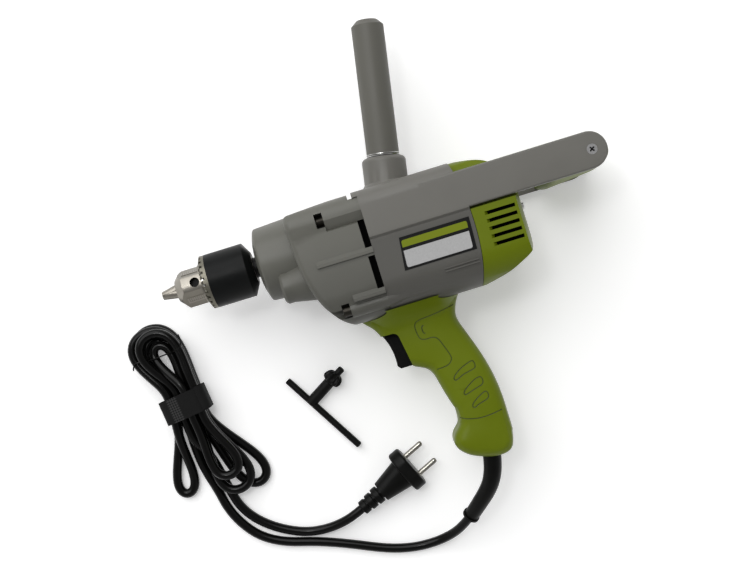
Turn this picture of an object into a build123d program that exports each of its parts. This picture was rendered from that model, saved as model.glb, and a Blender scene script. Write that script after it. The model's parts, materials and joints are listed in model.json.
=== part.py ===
from build123d import *
import os
from math import asin, atan2, ceil, cos, degrees, hypot, pi, radians, sin, sqrt, tan

# A corded two-handed drill that lies on its right side.
# While the pieces are made, the spindle's axis is the X axis, the chuck points along -X,
# Y is the tool's own up and X = 0 is the joint between the gear housing and the motor housing.
# Lengths are in millimetres, angles in degrees.

# Fits
RUNNING_FIT = 0.05
SLIDING_GAP = 0.3
SEAM_GAP = 0.4
CUT_PAST = 1.0
OVERRUN = 3.0

# Housings: cross-section shared by the gear housing and the motor housing
BODY_HALF_WIDTH = 55.0
FLANK_STEP = 2.0
BODY_TOP = 32.6
BODY_BOTTOM = 69.0
TOP_CORNER = 13.0
BOTTOM_CORNER = 28.0
EDGE_ROUND = 1.5

# Gear housing
GEAR_CASE_LENGTH = 93.8
NOSE_RADIUS = 30.7
NOSE_FLARE = 1.9
NOSE_FACE_RADIUS = 15.0
NOSE_DOME = 5.3
NOSE_FULLNESS = 0.82
NOSE_WALL = 6.0
SHOULDER_TOP = 62.0
SHOULDER_LOW = 53.0
SHOULDER_ROUND = 5.0
CROWN_FRONT = 29.4
CASE_STEP = 0.8
BEVEL_TOP = 17.0
BEVEL_LOW = 9.0
SHOULDER_BOW = 1.0
SHOULDER_LOW_SHARE = 0.6
CURVE_FOOT = 23.0
CURVE_RUN = 7.2
BOSS_RADIUS = 13.3
BOSS_FRONT = 79.0
BOSS_FLARE = 5.0
GEAR_ROOM = 2.0
NOTCH_DEPTH = 5.1
NOTCH_FRONT = 7.9
TONGUE_LENGTH = 4.3
VENT_LENGTH = 5.4
UPPER_VENT = (-12.8, 9.6)
LOWER_VENT = (-45.9, -19.8)
RIB_HEIGHT = 5.5
RIB_DRAFT = 0.4
MIDDLE_RIB = -15.2
LOWER_RIB = -48.4
RIB_RUN = 46.0
LOWER_RIB_RUN = 26.0

# Long screws that hold the two housings together
CASE_SCREW_RADIUS = 2.5
CASE_SCREW_LENGTH = 52.0
CASE_SCREW_HEAD_RADIUS = 4.4
CASE_SCREW_HEAD = 6.0
CASE_SCREW_SEAT = 30.5
CASE_SCREW_UP = 18.0
CASE_SCREW_DOWN = 56.0
CASE_SCREW_OUT = 44.0
POCKET_HALF = 5.8
POCKET_LENGTH = 6.5
RUN_IN_ROOM = 1.0
RECESS_LIP = 1.0
RECESS_DEEP = 3.0
SCREW_BOSS_RADIUS = 6.5
SCREW_BOSS_END = 3.0
SCREW_BOSS_RUN = 22.0

# Gear train
FIRST_MODULE = 1.0
MOTOR_TEETH = 9
WHEEL_TEETH = 38
SECOND_MODULE = 1.25
PINION_TEETH = 11
SPINDLE_TEETH = 41
ADDENDUM = 0.7
DEDENDUM = 1.1
TOOTH_FILL = 0.78
PRESSURE_ANGLE = 20.0
MOTOR_DROP = 16.0
WHEEL_WIDTH = 12.0
SPINDLE_GEAR_WIDTH = 16.0
PINION_OVERLAP = 1.5
GEAR_STEP = 4.0

# Bearings and bushes
SPINDLE_RADIUS = 8.5
SPINDLE_BEARING_RADIUS = 17.5
SPINDLE_BEARING_WIDTH = 10.0
SPINDLE_TAIL_RADIUS = 5.0
BUSH_WALL = 2.0
BUSH_LENGTH = 10.0
LAY_SHAFT_RADIUS = 4.0
SEAL_RADIUS = 13.0
SEAL_LIP = 1.5
CIRCLIP_WIDTH = 1.2
CIRCLIP_REACH = 2.4
GROOVE_DEPTH = 0.7
MOTOR_FRONT_JOURNAL = 5.0
MOTOR_FRONT_BEARING_RADIUS = 13.0
MOTOR_FRONT_BEARING_WIDTH = 8.0
MOTOR_REAR_JOURNAL = 4.0
MOTOR_REAR_BEARING_RADIUS = 11.0
MOTOR_REAR_BEARING_WIDTH = 7.0
PLATE_RADIUS = 42.0
PLATE_THICKNESS = 9.0
PLATE_SETBACK = 8.0
PLATE_SCREW_RADIUS = 2.0
PLATE_SCREW_HEAD_RADIUS = 3.5
PLATE_SCREW_HEAD = 2.4
PLATE_SCREW_LENGTH = 18.0
PLATE_SCREW_CIRCLE = 37.5
PLATE_SCREW_ANGLES = (-80.0, -130.0, 180.0)

# Motor
STATOR_SHARE = 43 / 55
STATOR_RADIUS = BODY_HALF_WIDTH * STATOR_SHARE
YOKE_THICKNESS = 7.0
POLE_SHARE = 27 / 43
POLE_RADIUS = STATOR_RADIUS * POLE_SHARE
POLE_HALF_ANGLE = 50.0
STATOR_FRONT = 22.0
STATOR_LENGTH = 46.0
COIL_WIDTH_ANGLE = 20.0
COIL_CLEAR_ANGLE = 1.0
COIL_END = 6.5
AIR_GAP = 0.6
SLOT_COUNT = 12
SLOT_WIDTH = 3.0
SLOT_DEPTH = 10.0
ARMATURE_SHAFT_RADIUS = 6.0
WINDING_INSET = 3.0
WINDING_RADIUS = POLE_RADIUS - WINDING_INSET
WINDING_END = 7.0
COMMUTATOR_RADIUS = 15.0
COMMUTATOR_LENGTH = 18.0
COMMUTATOR_GAP = 1.0
FAN_RADIUS = 37.0
FAN_WIDTH = 12.0
FAN_DISC = 2.0
FAN_HUB_RADIUS = 10.0
FAN_BLADES = 11
FAN_BLADE_THICKNESS = 1.8
FAN_SHROUD_RADIUS = 40.0
FAN_SHROUD_LENGTH = 14.0
BRUSH_HALF_WIDTH = 3.0
BRUSH_HALF_LENGTH = 5.0
BRUSH_LIFT = 0.1
HOLDER_WALL = 2.0
HOLDER_INSET = 25.0
HOLDER_LENGTH = STATOR_RADIUS - HOLDER_INSET
BRUSH_SPRING_ROOM = 5.0
BRUSH_LENGTH = HOLDER_LENGTH - BRUSH_SPRING_ROOM
SPRING_WIRE = 0.7
SPRING_COILS = 5
BRIDGE_RING = 5.0
BRIDGE_RING_WIDTH = 6.0
BRIDGE_LEG = 4.0
BRIDGE_HALF_WIDTH = 9.0

# Motor housing and rear cap
SPLIT_TOP = 75.0
SPLIT_MIDDLE = 81.8
CAP_BACK = [
    (87.0, 31.3),
    (104.0, 26.2),
    (118.5, 10.0),
    (125.5, -8.0),
    (127.0, -21.0),
    (125.8, -36.0),
    (120.0, -52.3),
    (110.8, -58.2),
    (99.6, -63.5),
    (87.8, -66.7),
]
CAP_BACK_RADIUS = 170.0
RIDGE_FRONT = 49.0
RIDGE_REAR = 77.5
RIDGE_PLACES = (-46.5, -48.9)
RIDGE_HALF = 0.5
RIDGE_TOP = BODY_HALF_WIDTH - FLANK_STEP
CAP_WALL = 3.0
CAP_ARM_GAP = 0.5
CAP_SLOTS = 5
CAP_SLOT_PITCH = 6.3
CAP_SLOT_HEIGHT = 2.8
CAP_SLOT_FRONT = 91.6
CAP_SLOT_LENGTH = 24.8
CAP_SLOT_RUN = 9.0
CAP_SLOT_TOP = 14.4
CAP_SCREW_RADIUS = 2.0
CAP_SCREW_HEAD_RADIUS = 3.8
CAP_SCREW_HEAD = 2.2
CAP_SCREW_SINK = 2.5
CAP_SCREW_OUT = 21.0
CAP_SCREW_GRIP = 8.0
CAP_POST_RADIUS = 5.5

# Rear handle: two arms of the motor housing with a cross grip between their ends
ARM_TOP = 23.8
ARM_BOTTOM = 5.8
ARM_THICKNESS = 9.0
ARM_REACH = 184.0
CROSS_GRIP_AHEAD = 34.5
CROSS_GRIP_BEHIND = 16.4
CROSS_GRIP_FRONT = ARM_REACH - CROSS_GRIP_AHEAD
CROSS_GRIP_REAR = ARM_REACH + CROSS_GRIP_BEHIND
CROSS_GRIP_FRONT_HALF = 17.8
CROSS_GRIP_REAR_HALF = 13.4
CROSS_GRIP_BULGE = 2.6
CROSS_GRIP_FRONT_ROUND = 5.0
CROSS_GRIP_REAR_ROUND = 10.0
ROD_RADIUS = 5.0
ARM_SCREW_PAST = 2.2
ARM_SCREW_PLACE = ARM_REACH + ARM_SCREW_PAST
ARM_SCREW_RADIUS = 2.5
ARM_SCREW_HEAD_RADIUS = 4.2
ARM_SCREW_HEAD = 2.6
ARM_SCREW_LENGTH = 22.0
RECESS_WIDTH = 1.3
RECESS_REACH = 4.6
RECESS_TURN = 35.0

# Name plate on the left flank
PLATE_LABEL_FRONT = 19.0
PLATE_LABEL_LENGTH = 60.0
PLATE_LABEL_TOP = 12.8
PLATE_LABEL_HEIGHT = 26.2
PLATE_LABEL_SLANT = 2.9
PLATE_LABEL_REAR_SLANT = 1.0
PLATE_LABEL_THICKNESS = 0.8
PLATE_LABEL_SINK = 0.4

# Top tube handle
COLLAR_RADIUS = 18.25
COLLAR_HEIGHT = 24.062
COLLAR_ROUND = 4.0
COLLAR_FOOT = 2.5
COLLAR_FOOT_HEIGHT = 4.0
COLLAR_FOOT_SHIFT = 1.2
COLLAR_PLACE = 26.65
TUBE_TILT = 10.1
TUBE_RADIUS = 13.5
TUBE_WALL = 3.0
TUBE_LENGTH = 113.5
TUBE_CHAMFER = 4.5
STUD_RADIUS = 7.0
STUD_SINK = 18.0
STUD_PLUG = 28.0

# Chuck
CHUCK_STANDOFF = 3.6
CHUCK_LENGTH = 66.6
CHUCK_RADIUS = 16.1
CHUCK_FACE_RADIUS = 9.0
CHUCK_CHAMFER = 6.5
CHUCK_LAND = 1.5
CHUCK_BOSS_RADIUS = 11.5
CHUCK_CAPACITY = 13.0
JAW_COUNT = 3
JAW_CLOSED = 1.5
JAW_REACH = 12.9
JAW_RADIUS = 4.2
JAW_LENGTH = 47.0
JAW_TILT = 13.0
JAW_TIP_RADIUS = 3.2
JAW_ROOM = 0.15
JAW_SIDE_GAP = 0.3
JAW_FLAT = 12.8
NUT_SETBACK = 23.8
NUT_WIDTH = 9.4
NUT_RADIUS = 17.9
NUT_FLOOR = 10.6
NUT_PLAY = 0.1
RING_LEAD = 1.0
RING_WIDTH = 6.4
RING_CONE = 2.4
RING_TEETH = 26
RING_GROOVE = 2.2
RING_GROOVE_DEPTH = 1.7
SLEEVE_RADIUS = 22.6
SLEEVE_WALL = 2.2
SLEEVE_FLANGE = 5.2
SLEEVE_TAIL_RADIUS = 13.5
THREAD_LENGTH = 19.0
KEY_HOLE_RADIUS = 4.0
KEY_HOLE_SETBACK = 17.5
KEY_HOLE_DEPTH = 6.0
KEY_HOLE_TURN = 80.3

# Pistol grip, two halves that meet on the middle plane
GRIP_HALF_WIDTH = 21.0
GRIP_ROUND = 9.0
GRIP_WALL = 3.2
GRIP_EDGE = [(12.0, 0.0), (17.0, 1.5), (20.0, 4.8), (21.0, 8.0)]
GRIP_ROOM_EDGE = [(9.5, 3.2), (14.5, 4.8), (17.8, 9.0)]
GRIP_FRONT = [
    (-28.0, -65.0),
    (-19.5, -76.0),
    (-12.0, -92.0),
    (-4.0, -108.0),
    (6.0, -116.5),
    (13.6, -120.5),
    (20.4, -136.6),
    (25.6, -156.0),
    (26.6, -169.0),
]
GRIP_FOOT = [
    (20.8, -177.4),
    (17.6, -185.5),
    (25.5, -197.2),
    (38.0, -203.0),
    (52.0, -205.5),
    (61.5, -202.0),
    (65.6, -190.0),
    (66.5, -168.2),
]
GRIP_BACK = [(64.8, -143.2), (59.0, -118.4), (51.3, -95.6), (49.2, -86.0), (51.4, -77.6), (60.0, -65.0)]
GRIP_TOP_RUN = (0.3, -1.0)
GRIP_HEEL_RUN = (-0.1, -1.0)
GRIP_BACK_RUN = (0.0, 1.0)
GRIP_TAIL_RUN = (1.0, 1.0)
FLARE_PLACE = 17.0
FLARE_RISE = 4.0
FLARE_LEVELS = [
    (0.0, 87.0, 42.0, 30.0),
    (5.2, 76.0, 32.0, 22.0),
    (11.5, 65.0, 24.5, 14.0),
    (23.0, 60.0, 20.0, 9.0),
]
GRIP_BOSS_RADIUS = 5.0
GRIP_SCREW_RADIUS = 2.0
GRIP_SCREW_HEAD_RADIUS = 3.6
GRIP_SCREW_HEAD = 2.6
GRIP_SCREW_SINK = 2.5
GRIP_SCREW_LENGTH = 30.0
GRIP_SCREW_PLACES = ((-9.5, -78.5), (44.0, -78.5), (28.0, -128.0), (31.0, -187.0))
KEEL_FRONT = 4.0
KEEL_LENGTH = 32.0
KEEL_HALF_WIDTH = 4.0
KEEL_FOOT = 4.0

# Trigger and switch
NOTCH_TOP = 84.6
NOTCH_LOW = 116.0
NOTCH_REAR_TOP = -1.2
NOTCH_REAR_LOW = 3.8
NOTCH_ROUND = 5.0
TRIGGER_HALF_WIDTH = 9.5
TRIGGER_TRAVEL = 7.0
TRIGGER_BACK = 4.0
TRIGGER_ROUND = 2.5
TRIGGER_HEAD_GAP = 0.6
TRIGGER_FOOT_GAP = 1.5
TRIGGER_HEAD_FRONT = -13.4
TRIGGER_TOE_FRONT = -8.6
TRIGGER_FACE = [(-10.4, -92.5), (-8.8, -100.0)]
PLUNGER_RADIUS = 2.5
PLUNGER_LENGTH = 19.0
SWITCH_FRONT = 18.0
SWITCH_LENGTH = 24.0
SWITCH_TOP = 84.0
SWITCH_HEIGHT = 31.0
SWITCH_HALF_WIDTH = 12.0
TRIGGER_SPRING_RADIUS = 4.2
TRIGGER_SPRING_WIRE = 0.9
TRIGGER_SPRING_COILS = 6
SPRING_POCKET = 6.0

# Mains lead; its points are (X, Y, height over the middle plane)
CORD_RADIUS = 4.0
BEND_SHARE = 0.45
BOOT_RADIUS = 8.0
BOOT_TIP_RADIUS = 6.4
BOOT_LIP = 1.0
BOOT_SECTIONS = 8
BOOT_POINTS = [
    (46.2, -192.0, 0.0),
    (44.0, -208.0, -0.6),
    (41.0, -219.0, -2.6),
    (36.0, -229.5, -7.2),
    (27.5, -240.0, -14.5),
    (19.5, -248.4, -21.6),
    (13.4, -254.3, -27.0),
]
LEAD_POINTS = [
    (46.0, -191.4, 0.0),
    (46.0, -172.0, 0.0),
    (42.5, -152.0, 0.0),
    (38.5, -134.0, 0.0),
    (37.5, -115.4, 0.0),
]
RUN_POINTS = [
    (13.2, -254.5, -27.2),
    (4.7, -262.1, -34.4),
    (-7.0, -268.6, -43.5),
    (-22.5, -272.0, -49.5),
    (-42.0, -271.3, -50.9),
    (-64.0, -265.5, -50.9),
    (-93.4, -252.0, -50.9),
    (-120.0, -241.5, -50.9),
    (-147.4, -234.0, -50.9),
    (-167.0, -222.5, -50.9),
    (-180.0, -205.5, -50.9),
    (-187.0, -189.0, -50.9),
    (-189.4, -174.5, -50.9),
]
TAIL_POINTS = [
    (-74.2, -224.05, -41.5),
    (-83.6, -228.2, -42.0),
    (-97.0, -231.9, -45.8),
    (-112.0, -233.2, -49.8),
    (-127.0, -231.0, -50.9),
    (-141.0, -225.0, -50.9),
    (-155.0, -216.5, -50.9),
    (-167.5, -205.0, -50.9),
    (-175.5, -192.5, -50.9),
    (-179.3, -179.5, -50.9),
]
CLAMP_HALF_LENGTH = 12.0
CLAMP_HALF_WIDTH = 4.5
CLAMP_THICKNESS = 3.0
CLAMP_PLACE = 46.0
CLAMP_DOWN = 178.0
CLAMP_SCREW_RADIUS = 1.6
CLAMP_SCREW_HEAD_RADIUS = 3.0
CLAMP_SCREW_HEAD = 2.0
CLAMP_SCREW_LENGTH = 9.0
TIE_X = -195.0
TIE_Y = -96.0
TIE_WIDTH = 23.0
TIE_THICKNESS = 1.8
TIE_HEIGHT = 25.0
HANK_WAIST = 34.0
HANK_HEIGHT = 23.0
HANK_OUTLINE = [
    (-212.0, -96.0),
    (-214.0, -79.0),
    (-226.0, -62.0),
    (-232.0, -45.0),
    (-224.0, -25.5),
    (-207.0, -18.0),
    (-190.0, -22.0),
    (-177.5, -37.0),
    (-174.5, -56.0),
    (-178.0, -80.0),
    (-178.0, -106.0),
    (-165.0, -121.5),
    (-147.0, -137.0),
    (-138.5, -155.0),
    (-143.0, -171.0),
    (-152.0, -182.0),
    (-164.0, -184.0),
    (-177.0, -181.5),
    (-190.0, -176.5),
    (-201.0, -158.0),
    (-211.0, -173.0),
    (-222.0, -172.5),
    (-229.0, -160.0),
    (-223.5, -138.0),
    (-213.0, -114.0),
]
PLUG_PLACE = (-21.9, -200.8)
PLUG_HEADING = 24.0
PLUG_PIN_RADIUS = 2.4
PLUG_PIN_DOME = 1.92
PLUG_PIN_LENGTH = 19.0
PLUG_PIN_SPACING = 19.0
PLUG_PIN_ROOT = 7.0
PLUG_PIN_ROOT_RADIUS = 3.0
PLUG_PIN_FLARE = 0.6
PLUG_FLANGE_LENGTH = 39.0
PLUG_FLANGE_HEIGHT = 27.0
PLUG_FLANGE_THICKNESS = 11.0
PLUG_EDGE = 2.2
PLUG_BODY_WIDTH = 27.0
PLUG_BODY_HEIGHT = 21.0
PLUG_BODY_LENGTH = 24.0
PLUG_NECK_RADIUS = 9.2
PLUG_TAIL_LENGTH = 21.8
PLUG_TAIL_RADIUS = 5.4
PLUG_RIB_RADII = (7.8, 7.2, 6.4)
PLUG_RIB_GROOVE = 1.7
PLUG_RIB_EDGE = 0.8

# Chuck key, which lies on the table beside the drill
KEY_BAR_RADIUS = 2.9
KEY_BAR_LENGTH = 84.5
KEY_BAR_OFFSET = 14.0
KEY_SHANK_RADIUS = 5.0
KEY_SHANK_LENGTH = 24.5
KEY_SHANK_BACK = 1.7
KEY_GEAR_RADIUS = 8.6
KEY_GEAR_LENGTH = 9.6
KEY_GEAR_TEETH = 12
KEY_GEAR_TIP_RADIUS = 6.2
KEY_TOOTH_DEPTH = 2.4
KEY_TOOTH_GAP = 2.0
KEY_PILOT_RADIUS = 3.1
KEY_PILOT_LENGTH = 6.5
KEY_REST = 0.48
KEY_PLACE = (-89.5, -124.0)
KEY_HEADING = 31.0

# What follows from the sizes above
flank_half_width = BODY_HALF_WIDTH - FLANK_STEP
arm_centre = (ARM_TOP - ARM_BOTTOM) / 2
arm_end_radius = (ARM_TOP + ARM_BOTTOM) / 2
arm_inside = BODY_HALF_WIDTH - ARM_THICKNESS
motor_y = -MOTOR_DROP
nose_front = -GEAR_CASE_LENGTH
spindle_bearing_front = nose_front + NOSE_WALL
spindle_bearing_rear = spindle_bearing_front + SPINDLE_BEARING_WIDTH
plate_rear = -PLATE_SETBACK
plate_front = plate_rear - PLATE_THICKNESS

first_distance = FIRST_MODULE * (MOTOR_TEETH + WHEEL_TEETH) / 2
second_distance = SECOND_MODULE * (PINION_TEETH + SPINDLE_TEETH) / 2
lay_y = (first_distance**2 - second_distance**2 - MOTOR_DROP**2) / (2 * MOTOR_DROP)
lay_z = sqrt(second_distance**2 - lay_y**2)
spindle_to_lay = degrees(atan2(lay_z, lay_y))
lay_to_motor = degrees(atan2(-lay_z, motor_y - lay_y))
wheel_rear = plate_front - GEAR_ROOM
wheel_front = wheel_rear - WHEEL_WIDTH
spindle_gear_rear = wheel_front - GEAR_STEP
spindle_gear_front = spindle_gear_rear - SPINDLE_GEAR_WIDTH
wheel_tip = FIRST_MODULE * (WHEEL_TEETH / 2 + ADDENDUM)
pinion_tip = SECOND_MODULE * (PINION_TEETH / 2 + ADDENDUM)
motor_tip = FIRST_MODULE * (MOTOR_TEETH / 2 + ADDENDUM)
spindle_gear_tip = SECOND_MODULE * (SPINDLE_TEETH / 2 + ADDENDUM)
lay_bush_front = -BOSS_FRONT + BUSH_WALL
lay_bush_rear = lay_bush_front + BUSH_LENGTH
tail_bush_front = plate_front - BUSH_LENGTH

core_radius = POLE_RADIUS - AIR_GAP
stator_rear = STATOR_FRONT + STATOR_LENGTH
fan_rear = STATOR_FRONT - WINDING_END - COMMUTATOR_GAP
commutator_front = stator_rear + WINDING_END + COMMUTATOR_GAP
commutator_rear = commutator_front + COMMUTATOR_LENGTH
brush_x = (commutator_front + commutator_rear) / 2
rear_bearing_front = commutator_rear + COMMUTATOR_GAP
rear_bearing_rear = rear_bearing_front + MOTOR_REAR_BEARING_WIDTH
bridge_ring_front = stator_rear + COIL_END + COMMUTATOR_GAP
bridge_rear = rear_bearing_rear + BRIDGE_LEG
cap_rear = max(x for x, y in CAP_BACK)
cap_half_width = arm_inside - CAP_ARM_GAP
cap_screw_seat = cap_rear - CAP_SCREW_SINK
cap_screw_tip = bridge_rear - CAP_SCREW_GRIP

chuck_rear = nose_front - CHUCK_STANDOFF
chuck_face = chuck_rear - CHUCK_LENGTH
jaw_pitch = 360 / JAW_COUNT
jaw_tip = chuck_face - JAW_REACH
jaw_axis_at_tip = JAW_TIP_RADIUS - JAW_RADIUS / cos(radians(JAW_TILT))
jaw_travel = (CHUCK_CAPACITY - JAW_CLOSED) / 2 / sin(radians(JAW_TILT))
thread_radius = CHUCK_CAPACITY / 2 - JAW_ROOM
nut_front = chuck_face + NUT_SETBACK
nut_rear = nut_front + NUT_WIDTH
ring_front = nut_front - RING_LEAD
ring_rear = ring_front + RING_WIDTH
sleeve_rear = chuck_rear - RUNNING_FIT
sleeve_bore = SLEEVE_RADIUS - SLEEVE_WALL

collar_axis = Plane(
    origin=(COLLAR_PLACE, BODY_TOP, 0),
    x_dir=(0, 0, 1),
    z_dir=(sin(radians(TUBE_TILT)), cos(radians(TUBE_TILT)), 0),
)
table = -BODY_HALF_WIDTH
grip_screw_seat = -GRIP_HALF_WIDTH + GRIP_SCREW_SINK + GRIP_SCREW_HEAD
plunger_y = -(NOTCH_TOP + NOTCH_LOW) / 2
trigger_back = NOTCH_REAR_LOW + TRIGGER_BACK
trigger_pocket = trigger_back - SPRING_POCKET
trigger_pocket_radius = TRIGGER_SPRING_RADIUS + TRIGGER_SPRING_WIRE
clamp_screw_places = (
    CLAMP_PLACE - CLAMP_HALF_LENGTH + CLAMP_SCREW_HEAD_RADIUS,
    CLAMP_PLACE + CLAMP_HALF_LENGTH - CLAMP_SCREW_HEAD_RADIUS,
)
plate_screw_places = [
    (
        motor_y + PLATE_SCREW_CIRCLE * cos(radians(angle)),
        PLATE_SCREW_CIRCLE * sin(radians(angle)),
    )
    for angle in PLATE_SCREW_ANGLES
]
case_screw_places = [
    (y, z)
    for y in (CASE_SCREW_UP, -CASE_SCREW_DOWN)
    for z in (-CASE_SCREW_OUT, CASE_SCREW_OUT)
]


# Shapes that several pieces use


def round_bar(front, rear, radius, y=0.0, z=0.0):
    """A round bar along X between two stations."""
    return Pos((front + rear) / 2, y, z) * Rot(0, 90, 0) * Cylinder(radius, rear - front)


def tube(front, rear, radius, bore, y=0.0, z=0.0):
    """A round tube along X between two stations."""
    return round_bar(front, rear, radius, y, z) - round_bar(front, rear, bore, y, z)


def block(x, y, z):
    """A box given by its low and high station along each axis."""
    middle = Pos((x[0] + x[1]) / 2, (y[0] + y[1]) / 2, (z[0] + z[1]) / 2)
    return middle * Box(x[1] - x[0], y[1] - y[0], z[1] - z[0])


def turned(*points):
    """A turned piece about the spindle axis, from (station, radius) points."""
    return revolve(make_face(Polyline(*points, close=True)), Axis.X)


def side_slab(outline, half_width):
    """A side view outline, extruded to both sides of the middle plane."""
    return Pos(0, 0, -half_width) * extrude(outline, 2 * half_width, dir=(0, 0, 1))


def along_x(section, front, rear):
    """A (Y, Z) section, extruded along X between two stations."""
    return Pos(front, 0, 0) * extrude(Plane.YZ * section, rear - front)


def post(x, y, low, high, radius):
    """A round post along Z."""
    return Pos(x, y, (low + high) / 2) * Cylinder(radius, high - low)


def sector(inner, outer, start, stop, front, rear):
    """Part of a ring about the motor axis, between two angles counted from +Y towards +Z."""
    steps = ceil((stop - start) / 30)
    far = 2 * outer
    rim = [start + (stop - start) * step / steps for step in range(steps + 1)]
    fan_points = [(far * cos(radians(a)), far * sin(radians(a))) for a in rim]
    wedge = Pos(0, motor_y, 0) * along_x(make_face(Polyline((0, 0), *fan_points, close=True)), front, rear)
    return tube(front, rear, outer, inner, motor_y) & wedge


def toothed(teeth, module, front, rear, turn, y=0.0, z=0.0):
    """A straight toothed wheel along X with the middle of one tooth at the angle turn."""
    pitch_radius = module * teeth / 2
    levels = (
        (pitch_radius - DEDENDUM * module, -1),
        (pitch_radius + ADDENDUM * module, -1),
        (pitch_radius + ADDENDUM * module, 1),
        (pitch_radius - DEDENDUM * module, 1),
    )
    points = []
    for tooth in range(teeth):
        middle = radians(turn + 360 * tooth / teeth)
        for radius, side in levels:
            rise = radius - pitch_radius
            half = TOOTH_FILL * pi * module / 4 - rise * tan(radians(PRESSURE_ANGLE))
            angle = middle + side * half / radius
            points.append((radius * cos(angle), radius * sin(angle)))
    return Pos(0, y, z) * along_x(make_face(Polyline(*points, close=True)), front, rear)


def headed_screw(radius, length, head_radius, head_height):
    """A screw along +Z: the shank from 0 up, the head below 0."""
    shank = Pos(0, 0, length / 2) * Cylinder(radius, length)
    head = Pos(0, 0, -head_height / 2) * Cylinder(head_radius, head_height)
    return shank + head


def spring(radius, wire, coils, length):
    """A closed-wound wire spring along +Z from 0."""
    rise = length - 2 * wire
    path = Helix(rise / coils, rise, radius)
    ring = Plane(origin=path @ 0, z_dir=path % 0) * Circle(wire / 2)
    return Pos(0, 0, wire) * sweep(ring, path)


def body_section(grow=0.0):
    """Cross-section of both housings: a wide upper band over a flank with a round bottom."""
    wide = BODY_HALF_WIDTH + grow
    flank = flank_half_width + grow
    top = BODY_TOP + grow
    bottom = -BODY_BOTTOM - grow
    corners = [
        (top, wide),
        (-ARM_BOTTOM - grow, wide),
        (-ARM_BOTTOM - FLANK_STEP - grow, flank),
        (bottom, flank),
        (bottom, -flank),
        (-ARM_BOTTOM - FLANK_STEP - grow, -flank),
        (-ARM_BOTTOM - grow, -wide),
        (top, -wide),
    ]
    rounds = [TOP_CORNER, 0, 0, BOTTOM_CORNER, BOTTOM_CORNER, 0, 0, TOP_CORNER]
    return make_face(FilletPolyline(*corners, radius=rounds, close=True))


def split_curve(shift=0.0):
    """The line between motor housing and rear cap, in side view, bottom to top."""
    return ThreePointArc(
        (SPLIT_TOP + shift, -BODY_BOTTOM - CUT_PAST),
        (SPLIT_MIDDLE + shift, motor_y),
        (SPLIT_TOP + shift, BODY_TOP + CUT_PAST),
    )


# Gear housing


def gear_section():
    """Cross-section of the gear housing: slimmer than the motor housing and bevelled over its flank."""
    flank = flank_half_width - CASE_STEP
    wide = BODY_HALF_WIDTH - CASE_STEP
    half = [(BODY_TOP - CASE_STEP, wide), (BEVEL_TOP, wide), (BEVEL_LOW, flank), (-BODY_BOTTOM, flank)]
    corners = half + [(y, -z) for y, z in reversed(half)]
    half_rounds = [TOP_CORNER, 0, 0, BOTTOM_CORNER]
    rounds = half_rounds + half_rounds[::-1]
    return make_face(FilletPolyline(*corners, radius=rounds, close=True))


def gear_case_outer():
    """The cast gear housing before it is hollowed: round nose, lay-shaft boss and broad rear part."""
    nose_rear = -NOTCH_FRONT - OVERRUN
    dome = NOSE_RADIUS - NOSE_FACE_RADIUS
    nose_edge = Spline(
        (nose_front, NOSE_FACE_RADIUS),
        (nose_front + NOSE_DOME / 2, NOSE_FACE_RADIUS + NOSE_FULLNESS * dome),
        (nose_front + NOSE_DOME, NOSE_RADIUS),
        tangents=[(0, 1), (1, NOSE_FLARE / GEAR_CASE_LENGTH)],
    )
    nose_sides = Polyline(
        (nose_front + NOSE_DOME, NOSE_RADIUS),
        (2 * SHOULDER_ROUND - SHOULDER_TOP, NOSE_RADIUS + NOSE_FLARE),
        (nose_rear, BODY_TOP - CASE_STEP),
        (nose_rear, 0),
        (nose_front, 0),
        (nose_front, NOSE_FACE_RADIUS),
    )
    nose = revolve(make_face([nose_edge, nose_sides]), Axis.X)

    boss_neck = -SHOULDER_TOP - 2 * SHOULDER_ROUND
    boss = turned(
        (-BOSS_FRONT, 0),
        (-BOSS_FRONT, BOSS_RADIUS - BUSH_WALL),
        (-BOSS_FRONT + BUSH_WALL, BOSS_RADIUS),
        (boss_neck, BOSS_RADIUS),
        (-SHOULDER_LOW + SHOULDER_ROUND, BOSS_RADIUS + BOSS_FLARE),
        (-SHOULDER_LOW + SHOULDER_ROUND, 0),
    )
    boss = Pos(0, lay_y, lay_z) * boss

    crown_slope = (BODY_TOP - CROWN_FRONT) / (SHOULDER_TOP - NOTCH_FRONT)
    rear_lines = Polyline(
        (OVERRUN - CURVE_FOOT, -BODY_BOTTOM - OVERRUN),
        (OVERRUN, -BODY_BOTTOM - OVERRUN),
        (OVERRUN, BODY_TOP + crown_slope * (NOTCH_FRONT + OVERRUN)),
        (-SHOULDER_TOP, CROWN_FRONT),
    )
    front_line = Spline(
        (-SHOULDER_TOP, CROWN_FRONT),
        (-SHOULDER_TOP + SHOULDER_BOW, 0),
        (-SHOULDER_LOW, -SHOULDER_LOW_SHARE * BODY_BOTTOM),
        (-CURVE_FOOT - CURVE_RUN, -BODY_BOTTOM),
        (OVERRUN - CURVE_FOOT, -BODY_BOTTOM - OVERRUN),
    )
    side_view = make_face([rear_lines, front_line])
    broad = along_x(gear_section(), -SHOULDER_TOP - OVERRUN, 0)
    broad = broad & side_slab(side_view, 2 * BODY_HALF_WIDTH)
    broad = fillet(broad.faces().sort_by(Axis.X)[0].edges(), SHOULDER_ROUND)
    return nose + boss + broad


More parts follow.
